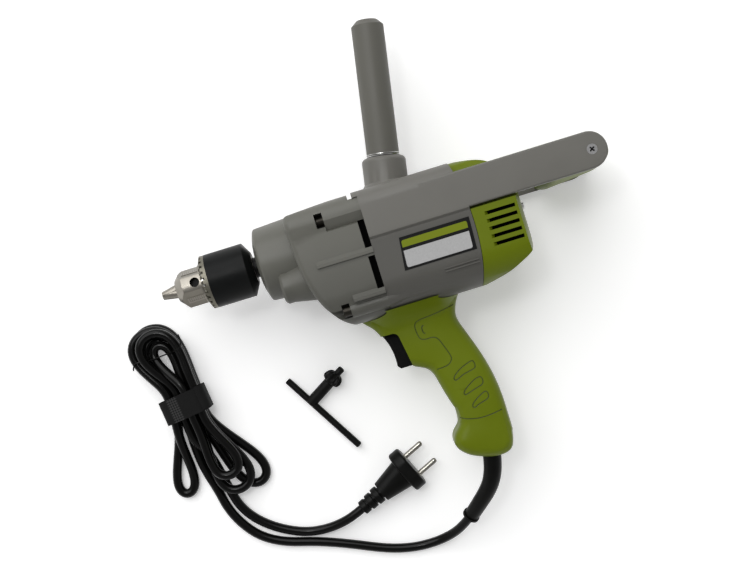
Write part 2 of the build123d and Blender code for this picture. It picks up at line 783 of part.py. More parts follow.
def case_screw_pocket(y, z):
    """Open pocket beside one long screw, with a run-in towards the nose."""
    out = 1 if z > 0 else -1
    depth = (abs(z) - POCKET_HALF, BODY_HALF_WIDTH + CUT_PAST)
    z_span = depth if out > 0 else (-depth[1], -depth[0])
    pocket = block(
        (-CASE_SCREW_SEAT - POCKET_LENGTH, -CASE_SCREW_SEAT),
        (y - POCKET_HALF, y + POCKET_HALF),
        z_span,
    )
    run_in_radius = CASE_SCREW_HEAD_RADIUS + RUN_IN_ROOM
    run_in = round_bar(-SHOULDER_TOP - CUT_PAST, -CASE_SCREW_SEAT, run_in_radius, y, z)
    hole = round_bar(-CASE_SCREW_SEAT - CUT_PAST, CUT_PAST, CASE_SCREW_RADIUS + SLIDING_GAP, y, z)
    return pocket + run_in + hole


def flank_rib(y, run):
    """Rib on the flank that rises slowly from above and drops steeply below."""
    root = flank_half_width - RIB_HEIGHT / 2
    crest = BODY_HALF_WIDTH - CASE_STEP
    low = y - RIB_HEIGHT / 2
    points = [(y + RIB_HEIGHT, root), (y, crest), (low + RIB_DRAFT, crest), (low, root)]
    return along_x(make_face(Polyline(*points, close=True)), -run, 0)


def gear_housing():
    case = gear_case_outer()
    for rib in (flank_rib(MIDDLE_RIB, RIB_RUN), flank_rib(LOWER_RIB, LOWER_RIB_RUN)):
        case += rib
        case += mirror(rib, Plane.XY)
    for z in (-CASE_SCREW_OUT, CASE_SCREW_OUT):
        case += round_bar(-CASE_SCREW_SEAT, 0, SCREW_BOSS_RADIUS, -CASE_SCREW_DOWN, z)

    inside = round_bar(nose_front - CUT_PAST, 0, SPINDLE_RADIUS + SLIDING_GAP)
    inside += round_bar(nose_front + SEAL_LIP, 0, SEAL_RADIUS)
    inside += round_bar(spindle_bearing_front, 0, SPINDLE_BEARING_RADIUS)
    inside += round_bar(spindle_gear_front - GEAR_STEP, 0, spindle_gear_tip + GEAR_ROOM)
    inside += round_bar(lay_bush_front, 0, LAY_SHAFT_RADIUS + BUSH_WALL, lay_y, lay_z)
    inside += round_bar(lay_bush_rear, 0, pinion_tip + GEAR_ROOM, lay_y, lay_z)
    inside += round_bar(wheel_front - GEAR_ROOM, 0, wheel_tip + GEAR_ROOM, lay_y, lay_z)
    keep = block(
        (nose_front - OVERRUN, plate_front),
        (-BODY_BOTTOM, BODY_TOP),
        (-BODY_HALF_WIDTH, BODY_HALF_WIDTH),
    )
    inside = inside & keep
    inside += round_bar(plate_front, CUT_PAST, PLATE_RADIUS, motor_y)
    for y, z in plate_screw_places:
        inside += round_bar(plate_rear - PLATE_SCREW_LENGTH, plate_rear, PLATE_SCREW_RADIUS, y, z)
    case -= inside

    across = BODY_HALF_WIDTH + CUT_PAST
    for vent in (UPPER_VENT, LOWER_VENT):
        case -= block((-VENT_LENGTH, CUT_PAST), vent, (-across, across))
    case -= block(
        (-NOTCH_FRONT, CUT_PAST), (BODY_TOP - NOTCH_DEPTH, BODY_TOP + CUT_PAST), (-across, across)
    )
    flank = flank_half_width - CASE_STEP
    recess_low = BEVEL_LOW - RECESS_LIP
    recess_points = [
        (BEVEL_TOP, BODY_HALF_WIDTH - CASE_STEP),
        (BEVEL_LOW, flank - RECESS_DEEP),
        (recess_low, flank),
        (recess_low, across),
        (BEVEL_TOP, across),
    ]
    recess = along_x(make_face(Polyline(*recess_points, close=True)), -CASE_SCREW_SEAT, CUT_PAST)
    case -= recess
    case -= mirror(recess, Plane.XY)
    for y, z in case_screw_places:
        case -= case_screw_pocket(y, z)
    return case


def case_screws():
    """Four long screws from the gear housing's pockets into the motor housing."""
    screw = headed_screw(CASE_SCREW_RADIUS, CASE_SCREW_LENGTH, CASE_SCREW_HEAD_RADIUS, CASE_SCREW_HEAD)
    socket = extrude(RegularPolygon(CASE_SCREW_RADIUS, 6), CASE_SCREW_HEAD / 2)
    screw -= Pos(0, 0, -CASE_SCREW_HEAD) * socket
    return [Pos(-CASE_SCREW_SEAT, y, z) * Rot(0, 90, 0) * screw for y, z in case_screw_places]


def bearing_plate():
    """The plate between gears and fan, which carries one end of all three shafts."""
    plate = round_bar(plate_front, plate_rear, PLATE_RADIUS, motor_y)
    plate += round_bar(
        tail_bush_front - BUSH_WALL, plate_front + CUT_PAST, SPINDLE_TAIL_RADIUS + 2 * BUSH_WALL
    )
    past_front = plate_front - CUT_PAST
    past_rear = plate_rear + CUT_PAST
    tail_hole_front = tail_bush_front - BUSH_WALL - CUT_PAST
    bearing_front = plate_rear - MOTOR_FRONT_BEARING_WIDTH
    plate -= round_bar(tail_bush_front, plate_front, SPINDLE_TAIL_RADIUS + BUSH_WALL)
    plate -= round_bar(tail_hole_front, plate_front, SPINDLE_TAIL_RADIUS + SLIDING_GAP)
    plate -= round_bar(bearing_front, past_rear, MOTOR_FRONT_BEARING_RADIUS, motor_y)
    plate -= round_bar(past_front, plate_rear, motor_tip + GEAR_ROOM, motor_y)
    plate -= round_bar(past_front, past_rear, LAY_SHAFT_RADIUS + BUSH_WALL, lay_y, lay_z)
    for y, z in plate_screw_places:
        plate -= round_bar(past_front, past_rear, PLATE_SCREW_RADIUS + RUNNING_FIT, y, z)
    return plate


def plate_screws():
    screw = headed_screw(PLATE_SCREW_RADIUS, PLATE_SCREW_LENGTH, PLATE_SCREW_HEAD_RADIUS, PLATE_SCREW_HEAD)
    return [Pos(plate_rear, y, z) * Rot(0, -90, 0) * screw for y, z in plate_screw_places]


def nose_seal():
    return tube(
        nose_front + SEAL_LIP, spindle_bearing_front, SEAL_RADIUS, SPINDLE_RADIUS + RUNNING_FIT
    )


def spindle_bearing():
    return tube(
        spindle_bearing_front, spindle_bearing_rear, SPINDLE_BEARING_RADIUS, SPINDLE_RADIUS + RUNNING_FIT
    )


def shaft_bushes():
    """Three bronze bushes: the spindle's tail and both ends of the lay shaft."""
    tail_radius = SPINDLE_TAIL_RADIUS + BUSH_WALL
    lay_radius = LAY_SHAFT_RADIUS + BUSH_WALL
    lay_bore = LAY_SHAFT_RADIUS + RUNNING_FIT
    return [
        tube(tail_bush_front, plate_front, tail_radius, SPINDLE_TAIL_RADIUS + RUNNING_FIT),
        tube(lay_bush_front, lay_bush_rear, lay_radius, lay_bore, lay_y, lay_z),
        tube(plate_front, plate_rear, lay_radius, lay_bore, lay_y, lay_z),
    ]


def motor_front_bearing():
    return tube(
        plate_rear - MOTOR_FRONT_BEARING_WIDTH,
        plate_rear,
        MOTOR_FRONT_BEARING_RADIUS,
        MOTOR_FRONT_JOURNAL + RUNNING_FIT,
        motor_y,
    )


# Spindle and gears


def spindle():
    """One turned shaft: screw for the chuck, bearing journal, gear seat and thin tail."""
    shaft = turned(
        (chuck_rear - THREAD_LENGTH, 0),
        (chuck_rear - THREAD_LENGTH, thread_radius - EDGE_ROUND),
        (chuck_rear - THREAD_LENGTH + EDGE_ROUND, thread_radius),
        (chuck_rear, thread_radius),
        (chuck_rear, SPINDLE_RADIUS),
        (spindle_gear_rear, SPINDLE_RADIUS),
        (spindle_gear_rear, SPINDLE_TAIL_RADIUS),
        (plate_front - SLIDING_GAP, SPINDLE_TAIL_RADIUS),
        (plate_front - SLIDING_GAP, 0),
    )
    ring_start = spindle_bearing_rear + SLIDING_GAP
    ring_end = ring_start + CIRCLIP_WIDTH
    groove = tube(ring_start, ring_end, SPINDLE_RADIUS + CUT_PAST, SPINDLE_RADIUS - GROOVE_DEPTH)
    return shaft - groove


def spindle_circlip():
    """Spring ring in the spindle's groove behind its bearing, open on one side."""
    ring_start = spindle_bearing_rear + SLIDING_GAP
    ring_end = ring_start + CIRCLIP_WIDTH
    ring = tube(ring_start, ring_end, SPINDLE_RADIUS + CIRCLIP_REACH, SPINDLE_RADIUS - GROOVE_DEPTH)
    return ring - block(
        (ring_start, ring_end), (0, SPINDLE_RADIUS + CIRCLIP_REACH), (-CIRCLIP_REACH, CIRCLIP_REACH)
    )


def spindle_gear():
    turn = spindle_to_lay + 180 / SPINDLE_TEETH
    wheel = toothed(SPINDLE_TEETH, SECOND_MODULE, spindle_gear_front, spindle_gear_rear, turn)
    return wheel - round_bar(spindle_gear_front - CUT_PAST, spindle_gear_rear + CUT_PAST, SPINDLE_RADIUS)


def lay_shaft():
    """Lay shaft with its pinion cut from the same bar."""
    front = lay_bush_front + SLIDING_GAP
    shaft = round_bar(front, plate_rear - SLIDING_GAP, LAY_SHAFT_RADIUS, lay_y, lay_z)
    pinion = toothed(
        PINION_TEETH,
        SECOND_MODULE,
        spindle_gear_front - PINION_OVERLAP,
        wheel_front,
        spindle_to_lay + 180,
        lay_y,
        lay_z,
    )
    return shaft + pinion


def lay_wheel():
    turn = lay_to_motor + 180 / WHEEL_TEETH
    wheel = toothed(WHEEL_TEETH, FIRST_MODULE, wheel_front, wheel_rear, turn, lay_y, lay_z)
    bore = round_bar(wheel_front - CUT_PAST, wheel_rear + CUT_PAST, LAY_SHAFT_RADIUS, lay_y, lay_z)
    return wheel - bore


# Motor


def armature_shaft():
    """Motor shaft with the first pinion cut on its front end."""
    pinion = toothed(
        MOTOR_TEETH,
        FIRST_MODULE,
        wheel_front - PINION_OVERLAP,
        plate_front + CUT_PAST,
        lay_to_motor + 180,
        motor_y,
    )
    shaft = round_bar(plate_front, fan_rear, MOTOR_FRONT_JOURNAL, motor_y)
    shaft += round_bar(fan_rear, commutator_rear, ARMATURE_SHAFT_RADIUS, motor_y)
    shaft += round_bar(commutator_rear, rear_bearing_rear + SLIDING_GAP, MOTOR_REAR_JOURNAL, motor_y)
    return pinion + shaft


def slot_bars(radius):
    """One bar per armature slot, about the motor axis, out to a radius."""
    bars = []
    for slot in range(SLOT_COUNT):
        bar = block(
            (STATOR_FRONT, stator_rear),
            (core_radius - SLOT_DEPTH, radius),
            (-SLOT_WIDTH / 2, SLOT_WIDTH / 2),
        )
        bars.append(Pos(0, motor_y, 0) * Rot(360 * slot / SLOT_COUNT, 0, 0) * bar)
    return bars


def armature_core():
    core = round_bar(STATOR_FRONT, stator_rear, core_radius, motor_y)
    core -= round_bar(STATOR_FRONT - CUT_PAST, stator_rear + CUT_PAST, ARMATURE_SHAFT_RADIUS, motor_y)
    for bar in slot_bars(core_radius + CUT_PAST):
        core -= bar
    return core


def armature_windings():
    """Copper in the slots, joined by the end turns in front of and behind the core."""
    winding = tube(STATOR_FRONT - WINDING_END, STATOR_FRONT, WINDING_RADIUS, ARMATURE_SHAFT_RADIUS, motor_y)
    winding += tube(stator_rear, stator_rear + WINDING_END, WINDING_RADIUS, ARMATURE_SHAFT_RADIUS, motor_y)
    for bar in slot_bars(WINDING_RADIUS):
        winding += bar
    return winding


def commutator():
    return tube(commutator_front, commutator_rear, COMMUTATOR_RADIUS, ARMATURE_SHAFT_RADIUS, motor_y)


def fan():
    """Cooling fan in front of the motor, with radial blades on a disc."""
    front = fan_rear - FAN_WIDTH
    wheel = round_bar(front, fan_rear, FAN_HUB_RADIUS, motor_y)
    wheel += round_bar(fan_rear - FAN_DISC, fan_rear, FAN_RADIUS, motor_y)
    for blade in range(FAN_BLADES):
        vane = block(
            (front, fan_rear),
            (FAN_HUB_RADIUS - CUT_PAST, FAN_RADIUS),
            (-FAN_BLADE_THICKNESS / 2, FAN_BLADE_THICKNESS / 2),
        )
        wheel += Pos(0, motor_y, 0) * Rot(360 * blade / FAN_BLADES, 0, 0) * vane
    return wheel - round_bar(front - CUT_PAST, fan_rear + CUT_PAST, MOTOR_FRONT_JOURNAL, motor_y)


def stator_core():
    core = tube(STATOR_FRONT, stator_rear, STATOR_RADIUS, STATOR_RADIUS - YOKE_THICKNESS, motor_y)
    for middle in (0, 180):
        core += sector(
            POLE_RADIUS,
            STATOR_RADIUS - YOKE_THICKNESS / 2,
            middle - POLE_HALF_ANGLE,
            middle + POLE_HALF_ANGLE,
            STATOR_FRONT,
            stator_rear,
        )
    return core


def stator_coils():
    """Two saddle coils, one round each pole."""
    inner = POLE_RADIUS + 2 * AIR_GAP
    outer = STATOR_RADIUS - YOKE_THICKNESS - AIR_GAP
    near = POLE_HALF_ANGLE + COIL_CLEAR_ANGLE
    far = near + COIL_WIDTH_ANGLE
    coils = []
    for middle in (0, 180):
        coil = sector(inner, outer, middle - far, middle + far, STATOR_FRONT - COIL_END, STATOR_FRONT)
        coil += sector(inner, outer, middle - far, middle + far, stator_rear, stator_rear + COIL_END)
        coil += sector(inner, outer, middle + near, middle + far, STATOR_FRONT, stator_rear)
        coil += sector(inner, outer, middle - far, middle - near, STATOR_FRONT, stator_rear)
        coils.append(coil)
    return coils


def brush_box(grow, low, high, side):
    """A box around one brush, which points at the commutator from the side."""
    span = (low, high) if side > 0 else (-high, -low)
    half_length = BRUSH_HALF_LENGTH + grow
    half_width = BRUSH_HALF_WIDTH + grow
    x_span = (brush_x - half_length, brush_x + half_length)
    return block(x_span, (motor_y - half_width, motor_y + half_width), span)


def brushes():
    inner = COMMUTATOR_RADIUS + BRUSH_LIFT
    return [brush_box(0, inner, inner + BRUSH_LENGTH, side) for side in (-1, 1)]


def brush_holders():
    low = COMMUTATOR_RADIUS + HOLDER_WALL
    holders = []
    for side in (-1, 1):
        holder = brush_box(HOLDER_WALL, low, low + HOLDER_LENGTH + HOLDER_WALL, side)
        holders.append(holder - brush_box(BRUSH_LIFT, low - CUT_PAST, low + HOLDER_LENGTH, side))
    return holders


def brush_springs():
    start = COMMUTATOR_RADIUS + BRUSH_LIFT + BRUSH_LENGTH
    end = COMMUTATOR_RADIUS + HOLDER_WALL + HOLDER_LENGTH
    coil = spring(BRUSH_HALF_WIDTH - SPRING_WIRE, SPRING_WIRE, SPRING_COILS, end - start)
    return [
        Pos(brush_x, motor_y, start) * coil,
        Pos(brush_x, motor_y, -start) * Rot(180, 0, 0) * coil,
    ]


def brush_bridge():
    """Moulded bridge behind the stator: a ring, two legs and the seat of the rear bearing."""
    ring_rear = bridge_ring_front + BRIDGE_RING_WIDTH
    bridge = tube(bridge_ring_front, ring_rear, STATOR_RADIUS, STATOR_RADIUS - BRIDGE_RING, motor_y)
    leg_low = COMMUTATOR_RADIUS + 2 * HOLDER_WALL + HOLDER_LENGTH
    y_span = (motor_y - BRIDGE_HALF_WIDTH, motor_y + BRIDGE_HALF_WIDTH)
    leg_high = leg_low + BRIDGE_LEG
    for span in ((leg_low, leg_high), (-leg_high, -leg_low)):
        bridge += block((bridge_ring_front, rear_bearing_rear), y_span, span)
    bridge += block((rear_bearing_front, bridge_rear), y_span, (-leg_high, leg_high))
    cup_radius = MOTOR_REAR_BEARING_RADIUS + BRIDGE_LEG
    shaft_room = MOTOR_REAR_JOURNAL + SLIDING_GAP
    bridge += round_bar(rear_bearing_front, bridge_rear, cup_radius, motor_y)
    bridge -= round_bar(bridge_ring_front, rear_bearing_rear, MOTOR_REAR_BEARING_RADIUS, motor_y)
    bridge -= round_bar(rear_bearing_rear, rear_bearing_rear + CUT_PAST, shaft_room, motor_y)
    for z in (-CAP_SCREW_OUT, CAP_SCREW_OUT):
        bridge -= round_bar(cap_screw_tip, cap_rear, CAP_SCREW_RADIUS, motor_y, z)
    return bridge


def motor_rear_bearing():
    return tube(
        rear_bearing_front,
        rear_bearing_rear,
        MOTOR_REAR_BEARING_RADIUS,
        MOTOR_REAR_JOURNAL + RUNNING_FIT,
        motor_y,
    )


# Motor housing with the rear handle's arms and the collar of the top handle


def motor_side_view():
    """Side view of the motor housing, closed by the split line at the rear."""
    return make_face(
        [
            split_curve(),
            Polyline(
                (SPLIT_TOP, BODY_TOP + CUT_PAST),
                (-CUT_PAST - TONGUE_LENGTH, BODY_TOP + CUT_PAST),
                (-CUT_PAST - TONGUE_LENGTH, -BODY_BOTTOM - CUT_PAST),
                (SPLIT_TOP, -BODY_BOTTOM - CUT_PAST),
            ),
        ]
    )


def arm(side):
    """One flat arm of the rear handle with its rounded end."""
    start = SPLIT_TOP - BOTTOM_CORNER
    strip = Pos((start + ARM_REACH) / 2, arm_centre) * Rectangle(ARM_REACH - start, 2 * arm_end_radius)
    outline = strip + Pos(ARM_REACH, arm_centre) * Circle(arm_end_radius)
    bar = Pos(0, 0, arm_inside) * extrude(outline, ARM_THICKNESS)
    rim = bar.faces().sort_by(Axis.Z)[-1].edges()
    bar = fillet(rim, EDGE_ROUND)
    return bar if side > 0 else mirror(bar, Plane.XY)


def collar():
    """Round collar on top of the housing, leaning to the rear."""
    root = BODY_TOP / 2
    ring = Cylinder(COLLAR_RADIUS, COLLAR_HEIGHT + root)
    piece = collar_axis * Pos(0, 0, (COLLAR_HEIGHT - root) / 2) * ring
    rim = piece.edges().filter_by(GeomType.CIRCLE).sort_by(Axis.Y)[-1]
    foot = Cone(COLLAR_RADIUS + 2 * COLLAR_FOOT, COLLAR_RADIUS, 2 * COLLAR_FOOT_HEIGHT)
    return fillet(rim, COLLAR_ROUND) + collar_axis * Pos(0, COLLAR_FOOT_SHIFT, 0) * foot


def motor_housing():
    pot = along_x(body_section(), 0, SPLIT_MIDDLE + CUT_PAST)
    pot = pot & side_slab(motor_side_view(), 2 * BODY_HALF_WIDTH)
    tongue = along_x(body_section(), -TONGUE_LENGTH, 0) & block(
        (-TONGUE_LENGTH, 0),
        (BODY_TOP - NOTCH_DEPTH + SLIDING_GAP, BODY_TOP + CUT_PAST),
        (-BODY_HALF_WIDTH, BODY_HALF_WIDTH),
    )
    housing = pot + tongue + collar() + arm(1) + arm(-1) + keel(0)
    for y in RIDGE_PLACES:
        ridge = block((RIDGE_FRONT, RIDGE_REAR), (y - RIDGE_HALF, y + RIDGE_HALF), (arm_inside, RIDGE_TOP))
        housing += ridge
        housing += mirror(ridge, Plane.XY)
    for z in (-CASE_SCREW_OUT, CASE_SCREW_OUT):
        boss = Cone(SCREW_BOSS_RADIUS, SCREW_BOSS_END, SCREW_BOSS_RUN)
        housing += Pos(SCREW_BOSS_RUN / 2, -CASE_SCREW_DOWN, z) * Rot(0, 90, 0) * boss
    housing -= round_bar(-CUT_PAST, STATOR_FRONT, FAN_SHROUD_RADIUS, motor_y)
    housing -= round_bar(FAN_SHROUD_LENGTH, cap_rear, STATOR_RADIUS, motor_y) & block(
        (0, cap_rear), (-BODY_BOTTOM, BODY_TOP), (-arm_inside, arm_inside)
    )
    for y, z in case_screw_places:
        end = CASE_SCREW_LENGTH - CASE_SCREW_SEAT
        housing -= round_bar(-CUT_PAST, end + SLIDING_GAP, CASE_SCREW_RADIUS, y, z)
    for side in (-1, 1):
        housing -= arm_screw_hole(side)
    housing -= collar_axis * Pos(0, 0, COLLAR_HEIGHT - STUD_SINK / 2) * Cylinder(STUD_RADIUS, STUD_SINK)
    return housing - name_plate_blank(0)


# Rear cap


def cap_side_view(inset, seam):
    """Side view of the cap, its back inset by a wall thickness, from the split line moved by seam."""
    back = [(x - inset, y - inset * y / BODY_BOTTOM) for x, y in CAP_BACK]
    return make_face(
        [
            split_curve(seam),
            Spline(
                (SPLIT_TOP + seam, BODY_TOP + CUT_PAST),
                *back,
                (SPLIT_TOP + seam, -BODY_BOTTOM - CUT_PAST),
            ),
        ]
    )


def cap_section(inset):
    """Cross-section of the cap: narrow between the arms, as wide as the flank below them."""
    top = BODY_TOP - inset
    low = -BODY_BOTTOM + inset
    step = -ARM_BOTTOM - FLANK_STEP - inset
    wide = flank_half_width - inset
    slim = cap_half_width - inset
    corners = [(top, slim), (step, slim), (step, wide), (low, wide)]
    corners += [(low, -wide), (step, -wide), (step, -slim), (top, -slim)]
    rounds = [TOP_CORNER, 0, 0, BOTTOM_CORNER, BOTTOM_CORNER, 0, 0, TOP_CORNER]
    return make_face(FilletPolyline(*corners, radius=rounds, close=True))


def cap_plan(inset):
    """All that lies in front of the cap's back, which is rounded as seen from above."""
    bar = Cylinder(CAP_BACK_RADIUS - inset, 4 * BODY_BOTTOM)
    return Pos(cap_rear - CAP_BACK_RADIUS, 0, 0) * Rot(90, 0, 0) * bar


def cap_slot(y):
    """One vent slot of the left side, whose floor slopes in from the front."""
    floor = cap_half_width - CAP_WALL
    rear = CAP_SLOT_FRONT + CAP_SLOT_LENGTH
    plan = make_face(
        Polyline(
            (CAP_SLOT_FRONT, flank_half_width),
            (CAP_SLOT_FRONT + CAP_SLOT_RUN, floor),
            (rear, floor),
            (rear, BODY_HALF_WIDTH),
            (CAP_SLOT_FRONT, BODY_HALF_WIDTH),
            close=True,
        )
    )
    return Pos(0, y + CAP_SLOT_HEIGHT / 2, 0) * extrude(Plane.XZ * plan, CAP_SLOT_HEIGHT)


def rear_cap():
    wide = 2 * BODY_HALF_WIDTH
    outer = along_x(cap_section(0), SPLIT_TOP - CUT_PAST, cap_rear + CUT_PAST)
    outer = outer & side_slab(cap_side_view(0, SEAM_GAP), wide) & cap_plan(0)
    inner = along_x(cap_section(CAP_WALL), SPLIT_TOP - OVERRUN, cap_rear)
    inner = inner & side_slab(cap_side_view(CAP_WALL, -CUT_PAST), wide) & cap_plan(CAP_WALL)
    cap = outer - inner
    for z in (-CAP_SCREW_OUT, CAP_SCREW_OUT):
        cap += round_bar(bridge_rear, cap_rear, CAP_POST_RADIUS, motor_y, z) & outer
        cap -= round_bar(bridge_rear, cap_rear, CAP_SCREW_RADIUS + RUNNING_FIT, motor_y, z)
        cap -= round_bar(cap_screw_seat, cap_rear + CUT_PAST, CAP_SCREW_HEAD_RADIUS + SLIDING_GAP, motor_y, z)
    for slot in range(CAP_SLOTS):
        vent = cap_slot(-CAP_SLOT_TOP - slot * CAP_SLOT_PITCH)
        cap -= vent
        cap -= mirror(vent, Plane.XY)
    return cap


def cap_screws():
    """Two screws through the cap into the brush bridge."""
    length = cap_screw_seat - cap_screw_tip
    screw = headed_screw(CAP_SCREW_RADIUS, length, CAP_SCREW_HEAD_RADIUS, CAP_SCREW_HEAD)
    turned_screw = Rot(0, -90, 0) * screw
    return [Pos(cap_screw_seat, motor_y, z) * turned_screw for z in (-CAP_SCREW_OUT, CAP_SCREW_OUT)]


# Rear handle


def arm_screw_hole(side):
    """Countersunk hole for the screw at one arm's end."""
    face = BODY_HALF_WIDTH
    hole_radius = ARM_SCREW_RADIUS + RUNNING_FIT
    hole = post(ARM_SCREW_PLACE, arm_centre, arm_inside - CUT_PAST, face + CUT_PAST, hole_radius)
    sink = Pos(ARM_SCREW_PLACE, arm_centre, face - ARM_SCREW_HEAD / 2) * Cone(
        hole_radius, ARM_SCREW_HEAD_RADIUS + RUNNING_FIT, ARM_SCREW_HEAD
    )
    hole += sink
    return hole if side > 0 else mirror(hole, Plane.XY)


def arm_screws():
    """Two countersunk cross-recess screws that hold the cross grip."""
    top = BODY_HALF_WIDTH
    head_middle = top - ARM_SCREW_HEAD / 2
    screw = post(ARM_SCREW_PLACE, arm_centre, top - ARM_SCREW_LENGTH, head_middle, ARM_SCREW_RADIUS)
    screw += Pos(ARM_SCREW_PLACE, arm_centre, head_middle) * Cone(
        ARM_SCREW_RADIUS, ARM_SCREW_HEAD_RADIUS, ARM_SCREW_HEAD
    )
    for turn in (RECESS_TURN, RECESS_TURN + 90):
        bit = Box(RECESS_REACH, RECESS_WIDTH, ARM_SCREW_HEAD)
        screw -= Pos(ARM_SCREW_PLACE, arm_centre, top) * Rot(0, 0, turn) * bit
    return [screw, mirror(screw, Plane.XY)]


def cross_grip_rod():
    """Steel rod through the cross grip, tapped at both ends for the arm screws."""
    rod = post(ARM_SCREW_PLACE, arm_centre, -arm_inside, arm_inside, ROD_RADIUS)
    depth = ARM_SCREW_LENGTH - ARM_THICKNESS + SLIDING_GAP
    for span in ((arm_inside - depth, arm_inside), (-arm_inside, depth - arm_inside)):
        rod -= post(ARM_SCREW_PLACE, arm_centre, span[0], span[1], ARM_SCREW_RADIUS)
    return rod


def cross_grip_section(slimmer):
    """Section of the cross grip: full at the front, narrower at the rear, with round corners."""
    front_half = CROSS_GRIP_FRONT_HALF - slimmer
    rear_half = CROSS_GRIP_REAR_HALF - slimmer
    corners = [
        (CROSS_GRIP_FRONT, arm_centre + front_half),
        (CROSS_GRIP_FRONT, arm_centre - front_half),
        (CROSS_GRIP_REAR, arm_centre - rear_half),
        (CROSS_GRIP_REAR, arm_centre + rear_half),
    ]
    rounds = [CROSS_GRIP_FRONT_ROUND] * 2 + [CROSS_GRIP_REAR_ROUND] * 2
    return make_face(FilletPolyline(*corners, radius=rounds, close=True))


def cross_grip():
    """Moulded grip between the arms, thickest in the middle."""
    ends = cross_grip_section(CROSS_GRIP_BULGE)
    waist = cross_grip_section(0)
    stack = [Pos(0, 0, -arm_inside) * ends, waist, Pos(0, 0, arm_inside) * ends]
    grip = loft(stack)
    half = arm_inside + CUT_PAST
    return grip - post(ARM_SCREW_PLACE, arm_centre, -half, half, ROD_RADIUS)


def name_plate_blank(shrink):
    """The slanted plate on the left flank, or the shallow seat for it."""
    front = PLATE_LABEL_FRONT + shrink
    rear = PLATE_LABEL_FRONT + PLATE_LABEL_LENGTH - shrink
    top = -PLATE_LABEL_TOP - shrink
    low = -PLATE_LABEL_TOP - PLATE_LABEL_HEIGHT + shrink
    outline = make_face(
        Polyline(
            (front + PLATE_LABEL_SLANT, top),
            (rear, top),
            (rear - PLATE_LABEL_REAR_SLANT, low),
            (front, low),
            close=True,
        )
    )
    seat = flank_half_width - PLATE_LABEL_SINK
    return Pos(0, 0, seat) * extrude(outline, PLATE_LABEL_THICKNESS)


def name_plate():
    return name_plate_blank(SEAM_GAP / 4)


# Top handle


def top_handle():
    """Painted steel tube, closed and chamfered at its free end."""
    outer = Pos(0, 0, COLLAR_HEIGHT + TUBE_LENGTH / 2) * Cylinder(TUBE_RADIUS, TUBE_LENGTH)
    outer = chamfer(outer.edges().sort_by(Axis.Z)[-1], TUBE_CHAMFER)
    outer = chamfer(outer.edges().filter_by(GeomType.CIRCLE).sort_by(Axis.Z)[0], EDGE_ROUND)
    bore_length = TUBE_LENGTH - 2 * TUBE_CHAMFER
    bore = Pos(0, 0, COLLAR_HEIGHT + bore_length / 2) * Cylinder(TUBE_RADIUS - TUBE_WALL, bore_length)
    return collar_axis * (outer - bore)


def top_handle_stud():
    """Stud in the collar with the plug that holds the tube."""
    low = COLLAR_HEIGHT - STUD_SINK
    high = COLLAR_HEIGHT + STUD_PLUG
    stud = Pos(0, 0, (low + high) / 2) * Cylinder(STUD_RADIUS, high - low)
    plug = Pos(0, 0, (COLLAR_HEIGHT + high) / 2) * Cylinder(TUBE_RADIUS - TUBE_WALL, high - COLLAR_HEIGHT)
    return collar_axis * (stud + plug)


# Chuck


def jaw_bar(radius, length, start=0.0):
    """A round bar along the slanted path of the jaw that moves in the +Y half of the middle plane."""
    bar = round_bar(start, length, radius)
    return Pos(jaw_tip, jaw_axis_at_tip, 0) * Rot(0, 0, JAW_TILT) * bar


def jaw_turn(number):
    return KEY_HOLE_TURN + (number + 0.5) * jaw_pitch


def chuck_body():
    """Steel body with three slanted jaw bores, three key holes and the screw for the spindle."""
    land = CHUCK_RADIUS + CHUCK_LAND
    body = turned(
        (chuck_face, 0),
        (chuck_face, CHUCK_FACE_RADIUS),
        (chuck_face + CHUCK_CHAMFER, CHUCK_RADIUS),
        (nut_front, CHUCK_RADIUS),
        (nut_front, NUT_FLOOR),
        (nut_rear, NUT_FLOOR),
        (nut_rear, land),
        (chuck_rear - SLEEVE_FLANGE - SLIDING_GAP, land),
        (chuck_rear - SLEEVE_FLANGE - SLIDING_GAP, CHUCK_BOSS_RADIUS),
        (chuck_rear, CHUCK_BOSS_RADIUS),
        (chuck_rear, 0),
    )
    body -= round_bar(chuck_face - CUT_PAST, chuck_rear - THREAD_LENGTH, CHUCK_CAPACITY / 2 + JAW_ROOM)
    body -= round_bar(chuck_face, chuck_rear + CUT_PAST, thread_radius)
    bore = jaw_bar(JAW_RADIUS + RUNNING_FIT, JAW_LENGTH + jaw_travel + CUT_PAST, -JAW_RADIUS)
    hole = Rot(90, 0, 0) * Cylinder(KEY_HOLE_RADIUS, KEY_HOLE_DEPTH + 2 * CUT_PAST)
    hole = Pos(chuck_face + KEY_HOLE_SETBACK, CHUCK_RADIUS - KEY_HOLE_DEPTH / 2 + CUT_PAST, 0) * hole
    flat = block(
        (chuck_face - CUT_PAST, ring_front - RING_LEAD),
        (JAW_FLAT, SLEEVE_RADIUS),
        (-SLEEVE_RADIUS, SLEEVE_RADIUS),
    )
    for number in range(JAW_COUNT):
        body -= Rot(jaw_turn(number), 0, 0) * bore
        body -= Rot(jaw_turn(number) + jaw_pitch / 2, 0, 0) * hole
        body -= Rot(jaw_turn(number), 0, 0) * flat
    return body


